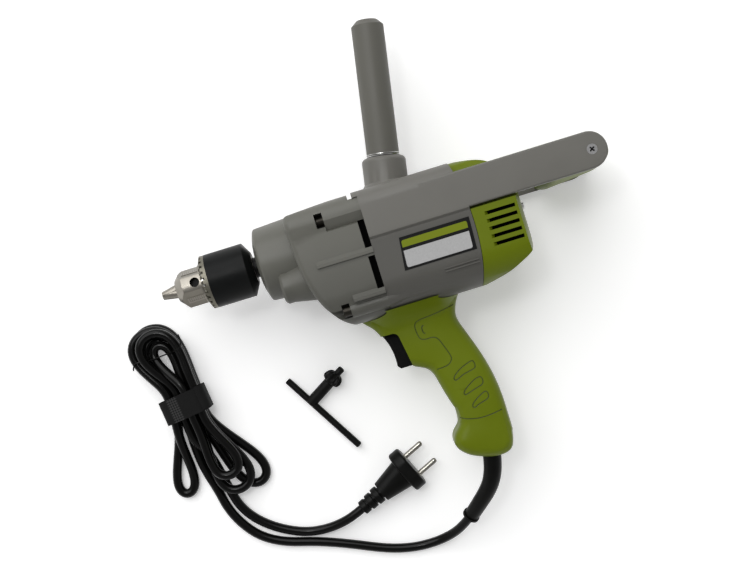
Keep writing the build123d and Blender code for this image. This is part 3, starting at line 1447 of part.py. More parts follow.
def chuck_jaw(number):
    """One round jaw with its flat gripping face and the two slopes that meet its neighbours."""
    far = 4 * JAW_RADIUS
    grip_at = JAW_CLOSED / 2
    side = JAW_SIDE_GAP / 2 / sin(radians(jaw_pitch / 2))
    slope = tan(radians(jaw_pitch / 2))
    near_half = max(grip_at - side, 0) * slope
    far_half = (far - side) * slope
    wedge = make_face(
        Polyline((grip_at, -near_half), (grip_at, near_half), (far, far_half), (far, -far_half), close=True)
    )
    jaw = jaw_bar(JAW_RADIUS, JAW_LENGTH, -JAW_RADIUS)
    jaw = jaw & along_x(wedge, jaw_tip, jaw_tip + 2 * JAW_LENGTH)
    return Rot(jaw_turn(number), 0, 0) * jaw


def jaw_outside(station):
    """Distance from the axis to the outside of the jaws at one station."""
    return JAW_TIP_RADIUS + (station - jaw_tip) * tan(radians(JAW_TILT))


def chuck_nut():
    """Ring nut inside the sleeve, whose cone runs on the backs of the jaws."""
    front = nut_front + NUT_PLAY
    rear = nut_rear - NUT_PLAY
    return turned(
        (front, jaw_outside(front) + RUNNING_FIT),
        (front, NUT_RADIUS),
        (rear, NUT_RADIUS),
        (rear, jaw_outside(rear) + RUNNING_FIT),
    )


def chuck_ring():
    """Bevel-toothed steel ring at the front of the sleeve."""
    lip = CHUCK_RADIUS + RUNNING_FIT
    tip = SLEEVE_RADIUS - SLIDING_GAP / 2
    ring = turned(
        (ring_front, lip),
        (ring_front, lip + EDGE_ROUND / 2),
        (ring_front + RING_CONE, tip),
        (ring_rear, tip),
        (ring_rear, NUT_RADIUS),
        (nut_front + NUT_PLAY, NUT_RADIUS),
        (nut_front + NUT_PLAY, lip),
    )
    rise = tip - lip - EDGE_ROUND / 2
    slant = degrees(atan2(rise, RING_CONE))
    groove = Box(hypot(rise, RING_CONE) + 2 * CUT_PAST, 2 * RING_GROOVE_DEPTH, RING_GROOVE)
    middle = Pos(ring_front + RING_CONE / 2, lip + EDGE_ROUND / 2 + rise / 2, 0)
    groove = middle * Rot(0, 0, slant) * groove
    for tooth in range(RING_TEETH):
        ring -= Rot(360 * tooth / RING_TEETH, 0, 0) * groove
    return ring


def chuck_sleeve():
    return turned(
        (ring_rear, NUT_RADIUS),
        (ring_rear, SLEEVE_RADIUS),
        (sleeve_rear - SLEEVE_FLANGE, SLEEVE_RADIUS),
        (sleeve_rear, SLEEVE_TAIL_RADIUS),
        (sleeve_rear, CHUCK_BOSS_RADIUS + RUNNING_FIT),
        (sleeve_rear - SLEEVE_FLANGE + SLIDING_GAP, CHUCK_BOSS_RADIUS + RUNNING_FIT),
        (sleeve_rear - SLEEVE_FLANGE + SLIDING_GAP, sleeve_bore),
        (nut_rear, sleeve_bore),
        (nut_rear, NUT_RADIUS),
    )


# Pistol grip


def grip_outline(inset):
    """Side view of the grip without the trigger's notch, from the front edge round to the back."""
    loop = GRIP_FRONT + GRIP_FOOT + GRIP_BACK
    moved = []
    for before, here, after in zip([loop[0]] + loop, loop, loop[1:] + [loop[-1]]):
        run = Vector(after[0] - before[0], after[1] - before[1]).normalized()
        moved.append((here[0] - inset * run.Y, here[1] + inset * run.X))
    front_end = len(GRIP_FRONT)
    foot_end = front_end + len(GRIP_FOOT)
    front = Spline(*moved[:front_end], tangents=[GRIP_TOP_RUN, GRIP_HEEL_RUN])
    foot = Spline(*moved[front_end - 1 : foot_end], tangents=[GRIP_HEEL_RUN, GRIP_BACK_RUN])
    back = Spline(*moved[foot_end - 1 :], tangents=[GRIP_BACK_RUN, GRIP_TAIL_RUN])
    return make_face([front, foot, back, Line(moved[-1], moved[0])])


def trigger_notch(deep):
    """Room for the trigger from the front of the grip to a slanted line, moved back by deep."""
    corners = [
        (-GEAR_CASE_LENGTH, -NOTCH_TOP),
        (NOTCH_REAR_TOP + deep, -NOTCH_TOP),
        (NOTCH_REAR_LOW + deep, -NOTCH_LOW),
        (-GEAR_CASE_LENGTH, -NOTCH_LOW),
    ]
    return make_face(FilletPolyline(*corners, radius=[0, NOTCH_ROUND, 0, 0], close=True))


def grip_stack(levels):
    """The grip's side view, smaller by an inset at each height over and under the middle plane."""
    upper = [Pos(0, 0, height) * grip_outline(inset) for height, inset in levels]
    lower = [Pos(0, 0, -height) * grip_outline(inset) for height, inset in reversed(levels)]
    return loft(lower + upper, ruled=True)


def grip_outer():
    """The grip's outside: a rounded handle and the flare that spreads under the housing."""
    handle = grip_stack(GRIP_EDGE)
    rings = []
    for depth, length, half_width, corner in FLARE_LEVELS:
        centre = (FLARE_PLACE, -BODY_BOTTOM + FLARE_RISE - depth, 0)
        level = Plane(origin=centre, x_dir=(1, 0, 0), z_dir=(0, 1, 0))
        rings.append(level * RectangleRounded(length, 2 * half_width, corner))
    handle += loft(rings)
    return handle - along_x(body_section(SEAM_GAP), nose_front, cap_rear)


def grip_room():
    """The hollow inside the grip, with the bosses and ribs left standing."""
    inside = GRIP_HALF_WIDTH - GRIP_WALL
    room = grip_stack(GRIP_ROOM_EDGE)
    room -= side_slab(trigger_notch(GRIP_WALL), GRIP_HALF_WIDTH)
    roof = -BODY_BOTTOM - SEAM_GAP - GRIP_WALL
    room -= block((nose_front, cap_rear), (roof, BODY_TOP), (-GRIP_HALF_WIDTH, GRIP_HALF_WIDTH))
    for x, y in GRIP_SCREW_PLACES:
        room -= post(x, y, -inside, inside, GRIP_BOSS_RADIUS)
    switch_rib_x = (SWITCH_FRONT + GRIP_WALL, SWITCH_FRONT + SWITCH_LENGTH - GRIP_WALL)
    switch_rib_y = (-SWITCH_TOP - SWITCH_HEIGHT, -SWITCH_TOP)
    room -= block(switch_rib_x, switch_rib_y, (SWITCH_HALF_WIDTH, inside))
    room -= block(switch_rib_x, switch_rib_y, (-inside, -SWITCH_HALF_WIDTH))
    for x in clamp_screw_places:
        room -= post(x, -CLAMP_DOWN, -inside, 0, CLAMP_SCREW_HEAD_RADIUS)
    return room


def keel(gap):
    """The rail under the motor housing that the grip's roof hooks onto, or the slot for it."""
    roof = -BODY_BOTTOM - SEAM_GAP - GRIP_WALL - gap
    stem = block(
        (KEEL_FRONT - gap, KEEL_FRONT + KEEL_LENGTH + gap),
        (roof - KEEL_FOOT, -BODY_BOTTOM + CUT_PAST),
        (-KEEL_HALF_WIDTH - gap, KEEL_HALF_WIDTH + gap),
    )
    foot = block(
        (KEEL_FRONT - gap, KEEL_FRONT + KEEL_LENGTH + gap),
        (roof - KEEL_FOOT, roof),
        (-2 * KEEL_HALF_WIDTH, 2 * KEEL_HALF_WIDTH),
    )
    return stem + foot


def grip_half(side):
    """One half of the grip: side is 1 for the upper half as it lies, -1 for the lower."""
    grip = grip_outer() - grip_room()
    grip -= side_slab(trigger_notch(0), BODY_HALF_WIDTH)
    bay = TRIGGER_BACK + TRIGGER_TRAVEL + GRIP_WALL
    grip -= side_slab(trigger_notch(bay), TRIGGER_HALF_WIDTH + SLIDING_GAP)
    grip -= keel(RUNNING_FIT)
    grip -= boot_bore()
    for x, y in GRIP_SCREW_PLACES:
        grip -= post(x, y, grip_screw_seat, grip_screw_seat + GRIP_SCREW_LENGTH, GRIP_SCREW_RADIUS)
        grip -= post(x, y, -BODY_HALF_WIDTH, grip_screw_seat, GRIP_SCREW_HEAD_RADIUS + SLIDING_GAP)
    for x in clamp_screw_places:
        grip -= post(x, -CLAMP_DOWN, -CLAMP_SCREW_LENGTH, 0, CLAMP_SCREW_RADIUS)
    span = (0, BODY_HALF_WIDTH) if side > 0 else (-BODY_HALF_WIDTH, 0)
    return grip & block((nose_front, cap_rear), (-4 * BODY_BOTTOM, BODY_TOP), span)


def grip_left():
    return grip_half(1)


def grip_right():
    return grip_half(-1)


def grip_screws():
    """Four screws that draw the halves together, from the right side."""
    screw = headed_screw(GRIP_SCREW_RADIUS, GRIP_SCREW_LENGTH, GRIP_SCREW_HEAD_RADIUS, GRIP_SCREW_HEAD)
    return [Pos(x, y, grip_screw_seat) * screw for x, y in GRIP_SCREW_PLACES]


# Trigger and switch


def trigger():
    """Slide trigger with a pocket for its spring and a plunger into the switch."""
    low = -NOTCH_LOW + TRIGGER_FOOT_GAP
    top = -NOTCH_TOP - TRIGGER_HEAD_GAP
    head = (TRIGGER_HEAD_FRONT, top)
    toe = (TRIGGER_TOE_FRONT, low + TRIGGER_ROUND)
    face = Spline(head, *TRIGGER_FACE, toe)
    rest = Polyline(
        toe,
        (TRIGGER_TOE_FRONT + TRIGGER_ROUND, low),
        (trigger_back, low),
        (trigger_back, top),
        head,
    )
    body = side_slab(make_face([face, rest]), TRIGGER_HALF_WIDTH)
    front_faces = body.faces().filter_by(Axis.Z, reverse=True).sort_by(Axis.X)
    body = fillet(front_faces[0].edges().filter_by(Axis.Z, reverse=True), TRIGGER_ROUND)
    body -= round_bar(trigger_pocket, trigger_back + CUT_PAST, trigger_pocket_radius, plunger_y)
    plunger_root = trigger_pocket - CUT_PAST
    return body + round_bar(plunger_root, trigger_back + PLUNGER_LENGTH, PLUNGER_RADIUS, plunger_y)


def trigger_spring():
    length = SWITCH_FRONT - trigger_pocket
    coil = spring(TRIGGER_SPRING_RADIUS, TRIGGER_SPRING_WIRE, TRIGGER_SPRING_COILS, length)
    return Pos(trigger_pocket, plunger_y, 0) * Rot(0, 90, 0) * coil


def switch():
    """Switch block with the bore for the trigger's plunger."""
    box = block(
        (SWITCH_FRONT, SWITCH_FRONT + SWITCH_LENGTH),
        (-SWITCH_TOP - SWITCH_HEIGHT, -SWITCH_TOP),
        (-SWITCH_HALF_WIDTH, SWITCH_HALF_WIDTH),
    )
    end = trigger_back + PLUNGER_LENGTH + TRIGGER_TRAVEL + CUT_PAST
    return box - round_bar(SWITCH_FRONT - CUT_PAST, end, PLUNGER_RADIUS + RUNNING_FIT, plunger_y)


# Mains lead


def boot_path():
    """Middle line of the bend protector under the grip."""
    return Spline(*BOOT_POINTS)


def boot_bore():
    """Hole in the grip's foot that holds the bend protector."""
    start = Vector(*BOOT_POINTS[0])
    down = (Vector(*BOOT_POINTS[1]) - start).normalized()
    length = GRIP_ROUND * 2
    middle = Plane(origin=start + down * (length / 2), z_dir=down)
    return middle * Cylinder(BOOT_RADIUS + SLIDING_GAP, length)


def cord_boot():
    """Tapered bend protector with a small lip at its tip."""
    path = boot_path()
    sections = []
    for step in range(BOOT_SECTIONS):
        share = step / (BOOT_SECTIONS - 1)
        radius = BOOT_RADIUS + (BOOT_TIP_RADIUS - BOOT_RADIUS) * share
        sections.append(Plane(origin=path @ share, z_dir=path % share) * Circle(radius))
    lip = Plane(origin=path @ 1, z_dir=path % 1) * Pos(0, 0, -BOOT_LIP) * Cylinder(
        BOOT_TIP_RADIUS + BOOT_LIP, 2 * BOOT_LIP
    )
    return loft(sections) + lip


def cord_tube(name, points):
    """A plain tube along straight runs, joined by arcs as large as the runs allow."""
    bends = []
    for before, here, after in zip(points, points[1:], points[2:]):
        first = Vector(*here) - Vector(*before)
        second = Vector(*after) - Vector(*here)
        half_turn = radians(first.get_angle(second) / 2)
        bends.append(BEND_SHARE * min(first.length, second.length) / tan(half_turn))
    path = FilletPolyline(*points, radius=bends)
    pipe = sweep(Plane(origin=path @ 0, z_dir=path % 0) * Circle(CORD_RADIUS), path)
    share = pipe.volume / (pi * CORD_RADIUS**2 * path.length)
    print(name, "length", round(path.length), "volume share", round(share, 4))
    print(name, "bend radii", [round(bend) for bend in bends])
    return pipe


def cord_lead():
    """The part of the lead inside the grip, from the switch to the bend protector."""
    return cord_tube("cord_lead", LEAD_POINTS)


def cord_run():
    return cord_tube("cord_run", RUN_POINTS)


def cord_tail():
    return cord_tube("cord_tail", TAIL_POINTS)


def cord_clamp():
    """Strap over the lead inside the grip."""
    strap = block(
        (CLAMP_PLACE - CLAMP_HALF_LENGTH, CLAMP_PLACE + CLAMP_HALF_LENGTH),
        (-CLAMP_DOWN - CLAMP_HALF_WIDTH, -CLAMP_DOWN + CLAMP_HALF_WIDTH),
        (0, CORD_RADIUS + CLAMP_THICKNESS),
    )
    channel = Pos(CLAMP_PLACE, -CLAMP_DOWN, 0) * Rot(90, 0, 0) * Cylinder(
        CORD_RADIUS + SLIDING_GAP, 4 * CLAMP_HALF_WIDTH
    )
    strap -= channel
    for x in clamp_screw_places:
        strap -= post(x, -CLAMP_DOWN, -CUT_PAST, 2 * CORD_RADIUS, CLAMP_SCREW_RADIUS + RUNNING_FIT)
    return strap


def clamp_screws():
    top = CORD_RADIUS + CLAMP_THICKNESS
    length = top + CLAMP_SCREW_LENGTH
    screw = headed_screw(CLAMP_SCREW_RADIUS, length, CLAMP_SCREW_HEAD_RADIUS, CLAMP_SCREW_HEAD)
    return [Pos(x, -CLAMP_DOWN, top) * Rot(180, 0, 0) * screw for x in clamp_screw_places]


def cord_hank():
    """Outer shape of the tied hank: one lobe above the tie, two below it."""
    outline = make_face(Spline(*HANK_OUTLINE, periodic=True))
    lobes = Pos(0, 0, table) * extrude(outline, HANK_HEIGHT, dir=(0, 0, 1))
    waist = block(
        (TIE_X - HANK_WAIST / 2, TIE_X + HANK_WAIST / 2),
        (TIE_Y - TIE_WIDTH, TIE_Y + TIE_WIDTH),
        (table + TIE_THICKNESS, table + TIE_THICKNESS + TIE_HEIGHT),
    )
    gap = block(
        (TIE_X - HANK_WAIST, TIE_X + HANK_WAIST),
        (TIE_Y - TIE_WIDTH / 2 - SLIDING_GAP, TIE_Y + TIE_WIDTH / 2 + SLIDING_GAP),
        (table, table + TIE_HEIGHT),
    )
    return lobes - gap + waist


def cord_tie():
    """Flat strap round the waist of the hank."""
    half = HANK_WAIST / 2 + TIE_THICKNESS
    strap = block(
        (TIE_X - half, TIE_X + half),
        (TIE_Y - TIE_WIDTH / 2, TIE_Y + TIE_WIDTH / 2),
        (table, table + TIE_HEIGHT + 2 * TIE_THICKNESS),
    )
    strap = fillet(strap.edges().filter_by(Axis.Y), TIE_THICKNESS)
    return strap - block(
        (TIE_X - HANK_WAIST / 2, TIE_X + HANK_WAIST / 2),
        (TIE_Y - TIE_WIDTH, TIE_Y + TIE_WIDTH),
        (table + TIE_THICKNESS, table + TIE_THICKNESS + TIE_HEIGHT),
    )


def plug_axis():
    """Frame of the plug: its origin in the front face, Z towards the pins' ends."""
    heading = radians(PLUG_HEADING)
    return Plane(
        origin=(PLUG_PLACE[0], PLUG_PLACE[1], table + PLUG_FLANGE_HEIGHT / 2),
        x_dir=(sin(heading), -cos(heading), 0),
        z_dir=(cos(heading), sin(heading), 0),
    )


def plug_body():
    """Moulded plug: flat oval flange, tapered body and ribbed tail."""
    flange_face = SlotOverall(PLUG_FLANGE_LENGTH, PLUG_FLANGE_HEIGHT)
    flange = Pos(0, 0, -PLUG_FLANGE_THICKNESS) * extrude(flange_face, PLUG_FLANGE_THICKNESS)
    flange = fillet(flange.faces().sort_by(Axis.Z)[0].edges(), PLUG_EDGE)
    flange = fillet(flange.faces().sort_by(Axis.Z)[-1].edges(), PLUG_EDGE)
    wide = SlotOverall(PLUG_BODY_WIDTH, PLUG_BODY_HEIGHT)
    back = -PLUG_FLANGE_THICKNESS - PLUG_BODY_LENGTH
    taper = loft([Pos(0, 0, back) * Circle(PLUG_NECK_RADIUS), Pos(0, 0, -PLUG_FLANGE_THICKNESS) * wide])
    tail = Pos(0, 0, back - PLUG_TAIL_LENGTH / 2) * Cylinder(PLUG_TAIL_RADIUS, PLUG_TAIL_LENGTH)
    body = flange + taper + tail
    pitch = PLUG_TAIL_LENGTH / len(PLUG_RIB_RADII)
    for number, radius in enumerate(PLUG_RIB_RADII):
        rib = Cylinder(radius, pitch - PLUG_RIB_GROOVE)
        rib = fillet(rib.edges().filter_by(GeomType.CIRCLE), PLUG_RIB_EDGE)
        body += Pos(0, 0, back - pitch * (number + 0.5) - PLUG_RIB_GROOVE / 2) * rib
    for x in (-PLUG_PIN_SPACING / 2, PLUG_PIN_SPACING / 2):
        body -= Pos(x, 0, -PLUG_PIN_ROOT / 2) * Cylinder(PLUG_PIN_ROOT_RADIUS, PLUG_PIN_ROOT)
    return plug_axis() * body


def plug_pins():
    """Two round pins with domed ends, a small flare at the foot and thicker roots moulded into the flange."""
    pin = Pos(0, 0, PLUG_PIN_LENGTH / 2) * Cylinder(PLUG_PIN_RADIUS, PLUG_PIN_LENGTH)
    pin = fillet(pin.edges().sort_by(Axis.Z)[-1], PLUG_PIN_DOME)
    pin += Pos(0, 0, PLUG_PIN_FLARE / 2) * Cone(PLUG_PIN_ROOT_RADIUS, PLUG_PIN_RADIUS, PLUG_PIN_FLARE)
    pin += Pos(0, 0, -PLUG_PIN_ROOT / 2) * Cylinder(PLUG_PIN_ROOT_RADIUS, PLUG_PIN_ROOT)
    return [plug_axis() * Pos(x, 0, 0) * pin for x in (-PLUG_PIN_SPACING / 2, PLUG_PIN_SPACING / 2)]


# Chuck key


def key_axis():
    """Frame of the key: its origin where the bar crosses the shank, Z towards the toothed head."""
    heading = radians(KEY_HEADING)
    reach = KEY_SHANK_LENGTH + KEY_GEAR_LENGTH / 2
    lean = asin((KEY_GEAR_RADIUS - KEY_SHANK_RADIUS) / reach)
    flat = cos(lean)
    rest = table + KEY_SHANK_RADIUS + KEY_REST
    return Plane(
        origin=(KEY_PLACE[0], KEY_PLACE[1], rest),
        x_dir=(sin(heading), -cos(heading), 0),
        z_dir=(flat * cos(heading), flat * sin(heading), sin(lean)),
    )


def chuck_key():
    """Toothed head with its pilot and shank."""
    shank = Cylinder(KEY_SHANK_RADIUS, KEY_SHANK_LENGTH + KEY_SHANK_BACK)
    shank = Pos(0, 0, (KEY_SHANK_LENGTH - KEY_SHANK_BACK) / 2) * shank
    head = Pos(0, 0, KEY_SHANK_LENGTH + KEY_GEAR_LENGTH / 2) * Cone(
        KEY_GEAR_RADIUS, KEY_GEAR_TIP_RADIUS, KEY_GEAR_LENGTH
    )
    notch_turn = 360 / KEY_GEAR_TEETH
    cone_slope = degrees(atan2(KEY_GEAR_RADIUS - KEY_GEAR_TIP_RADIUS, KEY_GEAR_LENGTH))
    for tooth in range(KEY_GEAR_TEETH):
        cut = Rot(0, -cone_slope, 0) * Box(2 * KEY_TOOTH_DEPTH, KEY_TOOTH_GAP, 2 * KEY_GEAR_LENGTH)
        cut = Pos(KEY_GEAR_RADIUS, 0, KEY_SHANK_LENGTH + KEY_GEAR_LENGTH / 2) * cut
        head -= Rot(0, 0, notch_turn * tooth) * cut
    tip = KEY_SHANK_LENGTH + KEY_GEAR_LENGTH
    pilot = Pos(0, 0, tip + KEY_PILOT_LENGTH / 2) * Cylinder(KEY_PILOT_RADIUS, KEY_PILOT_LENGTH)
    pilot = chamfer(pilot.edges().sort_by(Axis.Z)[-1], KEY_PILOT_RADIUS / 3)
    key = shank + head + pilot
    key -= Rot(0, 90, 0) * Cylinder(KEY_BAR_RADIUS, 4 * KEY_SHANK_RADIUS)
    return key_axis() * key


def chuck_key_bar():
    """Sliding bar through the key's shank."""
    bar = Pos(KEY_BAR_OFFSET, 0, 0) * Rot(0, 90, 0) * Cylinder(KEY_BAR_RADIUS, KEY_BAR_LENGTH)
    bar = chamfer(bar.edges().filter_by(GeomType.CIRCLE), KEY_BAR_RADIUS / 4)
    return key_axis() * bar


# Every piece by the name of its file; the origin is under the middle of the drill without its lead

pieces = {
    "gear_housing": gear_housing(),
    "case_screws": case_screws(),
    "bearing_plate": bearing_plate(),
    "plate_screws": plate_screws(),
    "nose_seal": nose_seal(),
    "spindle_bearing": spindle_bearing(),
    "shaft_bushes": shaft_bushes(),
    "motor_front_bearing": motor_front_bearing(),
    "spindle": spindle(),
    "spindle_circlip": spindle_circlip(),
    "spindle_gear": spindle_gear(),
    "lay_shaft": lay_shaft(),
    "lay_wheel": lay_wheel(),
    "armature_shaft": armature_shaft(),
    "armature_core": armature_core(),
    "armature_windings": armature_windings(),
    "commutator": commutator(),
    "fan": fan(),
    "stator_core": stator_core(),
    "stator_coils": stator_coils(),
    "brushes": brushes(),
    "brush_holders": brush_holders(),
    "brush_springs": brush_springs(),
    "brush_bridge": brush_bridge(),
    "motor_rear_bearing": motor_rear_bearing(),
    "motor_housing": motor_housing(),
    "rear_cap": rear_cap(),
    "cap_screws": cap_screws(),
    "arm_screws": arm_screws(),
    "cross_grip_rod": cross_grip_rod(),
    "cross_grip": cross_grip(),
    "name_plate": name_plate(),
    "top_handle": top_handle(),
    "top_handle_stud": top_handle_stud(),
    "chuck_body": chuck_body(),
    "chuck_nut": chuck_nut(),
    "chuck_ring": chuck_ring(),
    "chuck_sleeve": chuck_sleeve(),
    "chuck_jaw_a": chuck_jaw(0),
    "chuck_jaw_b": chuck_jaw(1),
    "chuck_jaw_c": chuck_jaw(2),
    "grip_left": grip_left(),
    "grip_right": grip_right(),
    "grip_screws": grip_screws(),
    "trigger": trigger(),
    "trigger_spring": trigger_spring(),
    "switch": switch(),
    "chuck_key": chuck_key(),
    "chuck_key_bar": chuck_key_bar(),
}
lead_pieces = {
    "cord_lead": cord_lead(),
    "cord_clamp": cord_clamp(),
    "clamp_screws": clamp_screws(),
    "cord_boot": cord_boot(),
    "cord_run": cord_run(),
    "cord_hank": cord_hank(),
    "cord_tie": cord_tie(),
    "cord_tail": cord_tail(),
    "plug_body": plug_body(),
    "plug_pins": plug_pins(),
}


def as_one(piece):
    return Compound(piece) if isinstance(piece, list) else piece


drill_boxes = [as_one(piece).bounding_box() for piece in pieces.values()]
front_end = min(box.min.X for box in drill_boxes)
rear_end = max(box.max.X for box in drill_boxes)
lowest = min(box.min.Y for box in drill_boxes)
highest = max(box.max.Y for box in drill_boxes)
to_origin = Pos(-(front_end + rear_end) / 2, -(lowest + highest) / 2, BODY_HALF_WIDTH)
print("moved to the origin by", to_origin.position)

os.makedirs("parts", exist_ok=True)
for name, piece in {**pieces, **lead_pieces}.items():
    export_step(to_origin * as_one(piece), f"parts/{name}.step")
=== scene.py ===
import json
from math import cos, pi, radians, sin

import bmesh
import bpy
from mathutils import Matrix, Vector
from mathutils.bvhtree import BVHTree


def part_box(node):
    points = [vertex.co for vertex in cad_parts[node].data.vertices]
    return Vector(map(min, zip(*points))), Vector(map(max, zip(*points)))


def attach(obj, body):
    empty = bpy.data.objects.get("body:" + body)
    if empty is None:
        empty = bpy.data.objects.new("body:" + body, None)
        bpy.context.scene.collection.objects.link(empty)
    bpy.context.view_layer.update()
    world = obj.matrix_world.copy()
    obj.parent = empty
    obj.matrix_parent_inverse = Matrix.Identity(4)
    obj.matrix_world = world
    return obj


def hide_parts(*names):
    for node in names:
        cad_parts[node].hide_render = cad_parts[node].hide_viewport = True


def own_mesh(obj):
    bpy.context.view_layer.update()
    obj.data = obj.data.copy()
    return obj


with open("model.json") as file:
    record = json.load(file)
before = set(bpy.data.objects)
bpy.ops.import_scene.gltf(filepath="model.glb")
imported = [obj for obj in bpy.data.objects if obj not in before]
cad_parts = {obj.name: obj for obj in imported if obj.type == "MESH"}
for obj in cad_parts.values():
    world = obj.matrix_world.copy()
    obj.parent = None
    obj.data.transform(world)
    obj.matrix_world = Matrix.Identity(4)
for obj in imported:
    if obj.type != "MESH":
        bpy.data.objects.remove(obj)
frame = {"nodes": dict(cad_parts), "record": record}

scene = bpy.context.scene
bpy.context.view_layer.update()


# Table, light and viewpoint
# The drill lies on its right side on a white table and is seen from straight above, from about a metre.
# A wide soft light hangs over the table, a little towards the chuck, and white walls fill the shadows.

def place(tree, kind, inputs=None, **settings):
    """New node of a tree: its settings, its plain input values and its links from other nodes' sockets."""
    node = tree.nodes.new(kind)
    for name, value in settings.items():
        setattr(node, name, value)
    for name, value in (inputs or {}).items():
        if isinstance(value, bpy.types.NodeSocket):
            tree.links.new(value, node.inputs[name])
        else:
            node.inputs[name].default_value = value
    return node


def reckon(tree, operation, *values):
    """Output of a math node that works on numbers and on other nodes' sockets."""
    return place(tree, "ShaderNodeMath", dict(enumerate(values)), operation=operation).outputs[0]


def spread(tree, value, low, high, start=0.0, end=1.0):
    """Output of a node that lays the values from start to end over the range from low to high."""
    ends = {"From Min": start, "From Max": end, "To Min": low, "To Max": high}
    return place(tree, "ShaderNodeMapRange", {"Value": value, **ends}).outputs["Result"]


def new_finish(name):
    """New material with an empty tree but for its output and its shader."""
    material = bpy.data.materials.new(name)
    material.use_nodes = True
    return material, material.node_tree, material.node_tree.nodes["Principled BSDF"]


def new_piece(name, mesh):
    """Object of a finished mesh, standing at the origin with its place in its mesh."""
    piece = bpy.data.objects.new(name, mesh)
    scene.collection.objects.link(piece)
    return piece


scene.view_settings.view_transform = "Standard"

table_reach = 3.0
table_mesh = bpy.data.meshes.new("table_top")
table_mesh.from_pydata(
    [(-table_reach, -table_reach, 0), (table_reach, -table_reach, 0),
     (table_reach, table_reach, 0), (-table_reach, table_reach, 0)],
    [],
    [(0, 1, 2, 3)],
)
table_paint, tree, shader = new_finish("table_paint")
speckle = place(tree, "ShaderNodeTexNoise", {"Scale": 6.0, "Detail": 2.0})
pale = spread(tree, speckle.outputs["Fac"], 0.955, 0.975)
tree.links.new(pale, shader.inputs["Base Color"])
shader.inputs["Roughness"].default_value = 0.7
shader.inputs["Specular IOR Level"].default_value = 0.2
paths = place(tree, "ShaderNodeLightPath")
seen = reckon(tree, "MAXIMUM", paths.outputs["Is Camera Ray"], paths.outputs["Is Glossy Ray"])
seen_through = reckon(tree, "MAXIMUM", seen, paths.outputs["Is Transmission Ray"])
table_glow = 0.26
lift = reckon(tree, "MULTIPLY", seen_through, table_glow)
tree.links.new(lift, shader.inputs["Emission Strength"])
shader.inputs["Emission Color"].default_value = (1.0, 1.0, 1.0, 1.0)
table_mesh.materials.append(table_paint)
new_piece("table_top", table_mesh)

walls = bpy.data.worlds.new("white_walls")
walls.use_nodes = True
outlook = place(walls.node_tree, "ShaderNodeTexCoord")
climb = place(walls.node_tree, "ShaderNodeSeparateXYZ", {0: outlook.outputs["Generated"]})
wall_tone = spread(walls.node_tree, climb.outputs["Z"], 0.74, 0.24)
walls.node_tree.links.new(wall_tone, walls.node_tree.nodes["Background"].inputs["Color"])
scene.world = walls

for name, width, power, spot in (
        ("soft_lamp", 5.5, 175.0, Vector((-0.95, 2.85, 3.75))),
        ("small_lamp", 0.3, 3.2, Vector((-0.35, 0.45, 1.9)))):
    glow = bpy.data.lights.new(name, "AREA")
    glow.shape = "DISK"
    glow.size = width
    glow.energy = power
    lamp = bpy.data.objects.new(name, glow)
    lamp.location = spot
    lamp.rotation_euler = (-spot).to_track_quat("-Z", "Y").to_euler()
    scene.collection.objects.link(lamp)

view_spot = (-0.01775, -0.02245)
view_height = 1.006
view_turn = radians(-17.1)
lens_pixels = 1150.0
photo_width = 750.0
view = bpy.data.cameras.new("photograph")
view.sensor_width = 36.0
view.lens = view.sensor_width * lens_pixels / photo_width
eye = bpy.data.objects.new("photograph", view)
eye.location = (*view_spot, view_height)
eye.rotation_euler = (0.0, 0.0, view_turn)
scene.collection.objects.link(eye)
scene.camera = eye


# Gear housing and its screws
# A cast housing with a round nose, ribs and screw pockets, sprayed in a satin warm grey.
# Four long dark screws draw it against the motor housing; a thin plate closes it from behind.

body_of = {}
for body, members in frame["record"]["behaviour"]["bodies"].items():
    for member in members:
        body_of[member] = body

grain = bpy.data.node_groups.new("surface_grain", "ShaderNodeTree")
for name, start in (("Fine Scale", 1500.0), ("Broad Scale", 40.0), ("Tone Spread", 0.1),
                    ("Roughness", 0.4), ("Roughness Spread", 0.08)):
    grain.interface.new_socket(name, in_out="INPUT", socket_type="NodeSocketFloat").default_value = start
for name in ("Height", "Tone", "Roughness"):
    grain.interface.new_socket(name, in_out="OUTPUT", socket_type="NodeSocketFloat")
entry = place(grain, "NodeGroupInput")
spot = place(grain, "ShaderNodeTexCoord")
fine = place(grain, "ShaderNodeTexNoise", {
    "Vector": spot.outputs["Object"], "Scale": entry.outputs["Fine Scale"], "Detail": 3.0})
broad = place(grain, "ShaderNodeTexNoise", {
    "Vector": spot.outputs["Object"], "Scale": entry.outputs["Broad Scale"],
    "Detail": 5.0, "Roughness": 0.6})
noise_low, noise_high = 0.3, 0.7
low_tone = reckon(grain, "SUBTRACT", 1.0, entry.outputs["Tone Spread"])
high_tone = reckon(grain, "ADD", 1.0, entry.outputs["Tone Spread"])
tone = spread(grain, broad.outputs["Fac"], low_tone, high_tone, noise_low, noise_high)
dull = reckon(grain, "ADD", entry.outputs["Roughness"], entry.outputs["Roughness Spread"])
keen = reckon(grain, "SUBTRACT", entry.outputs["Roughness"], entry.outputs["Roughness Spread"])
gloss = spread(grain, broad.outputs["Fac"], keen, dull, noise_low, noise_high)
place(grain, "NodeGroupOutput", {
    "Height": fine.outputs["Fac"], "Tone": tone, "Roughness": gloss})


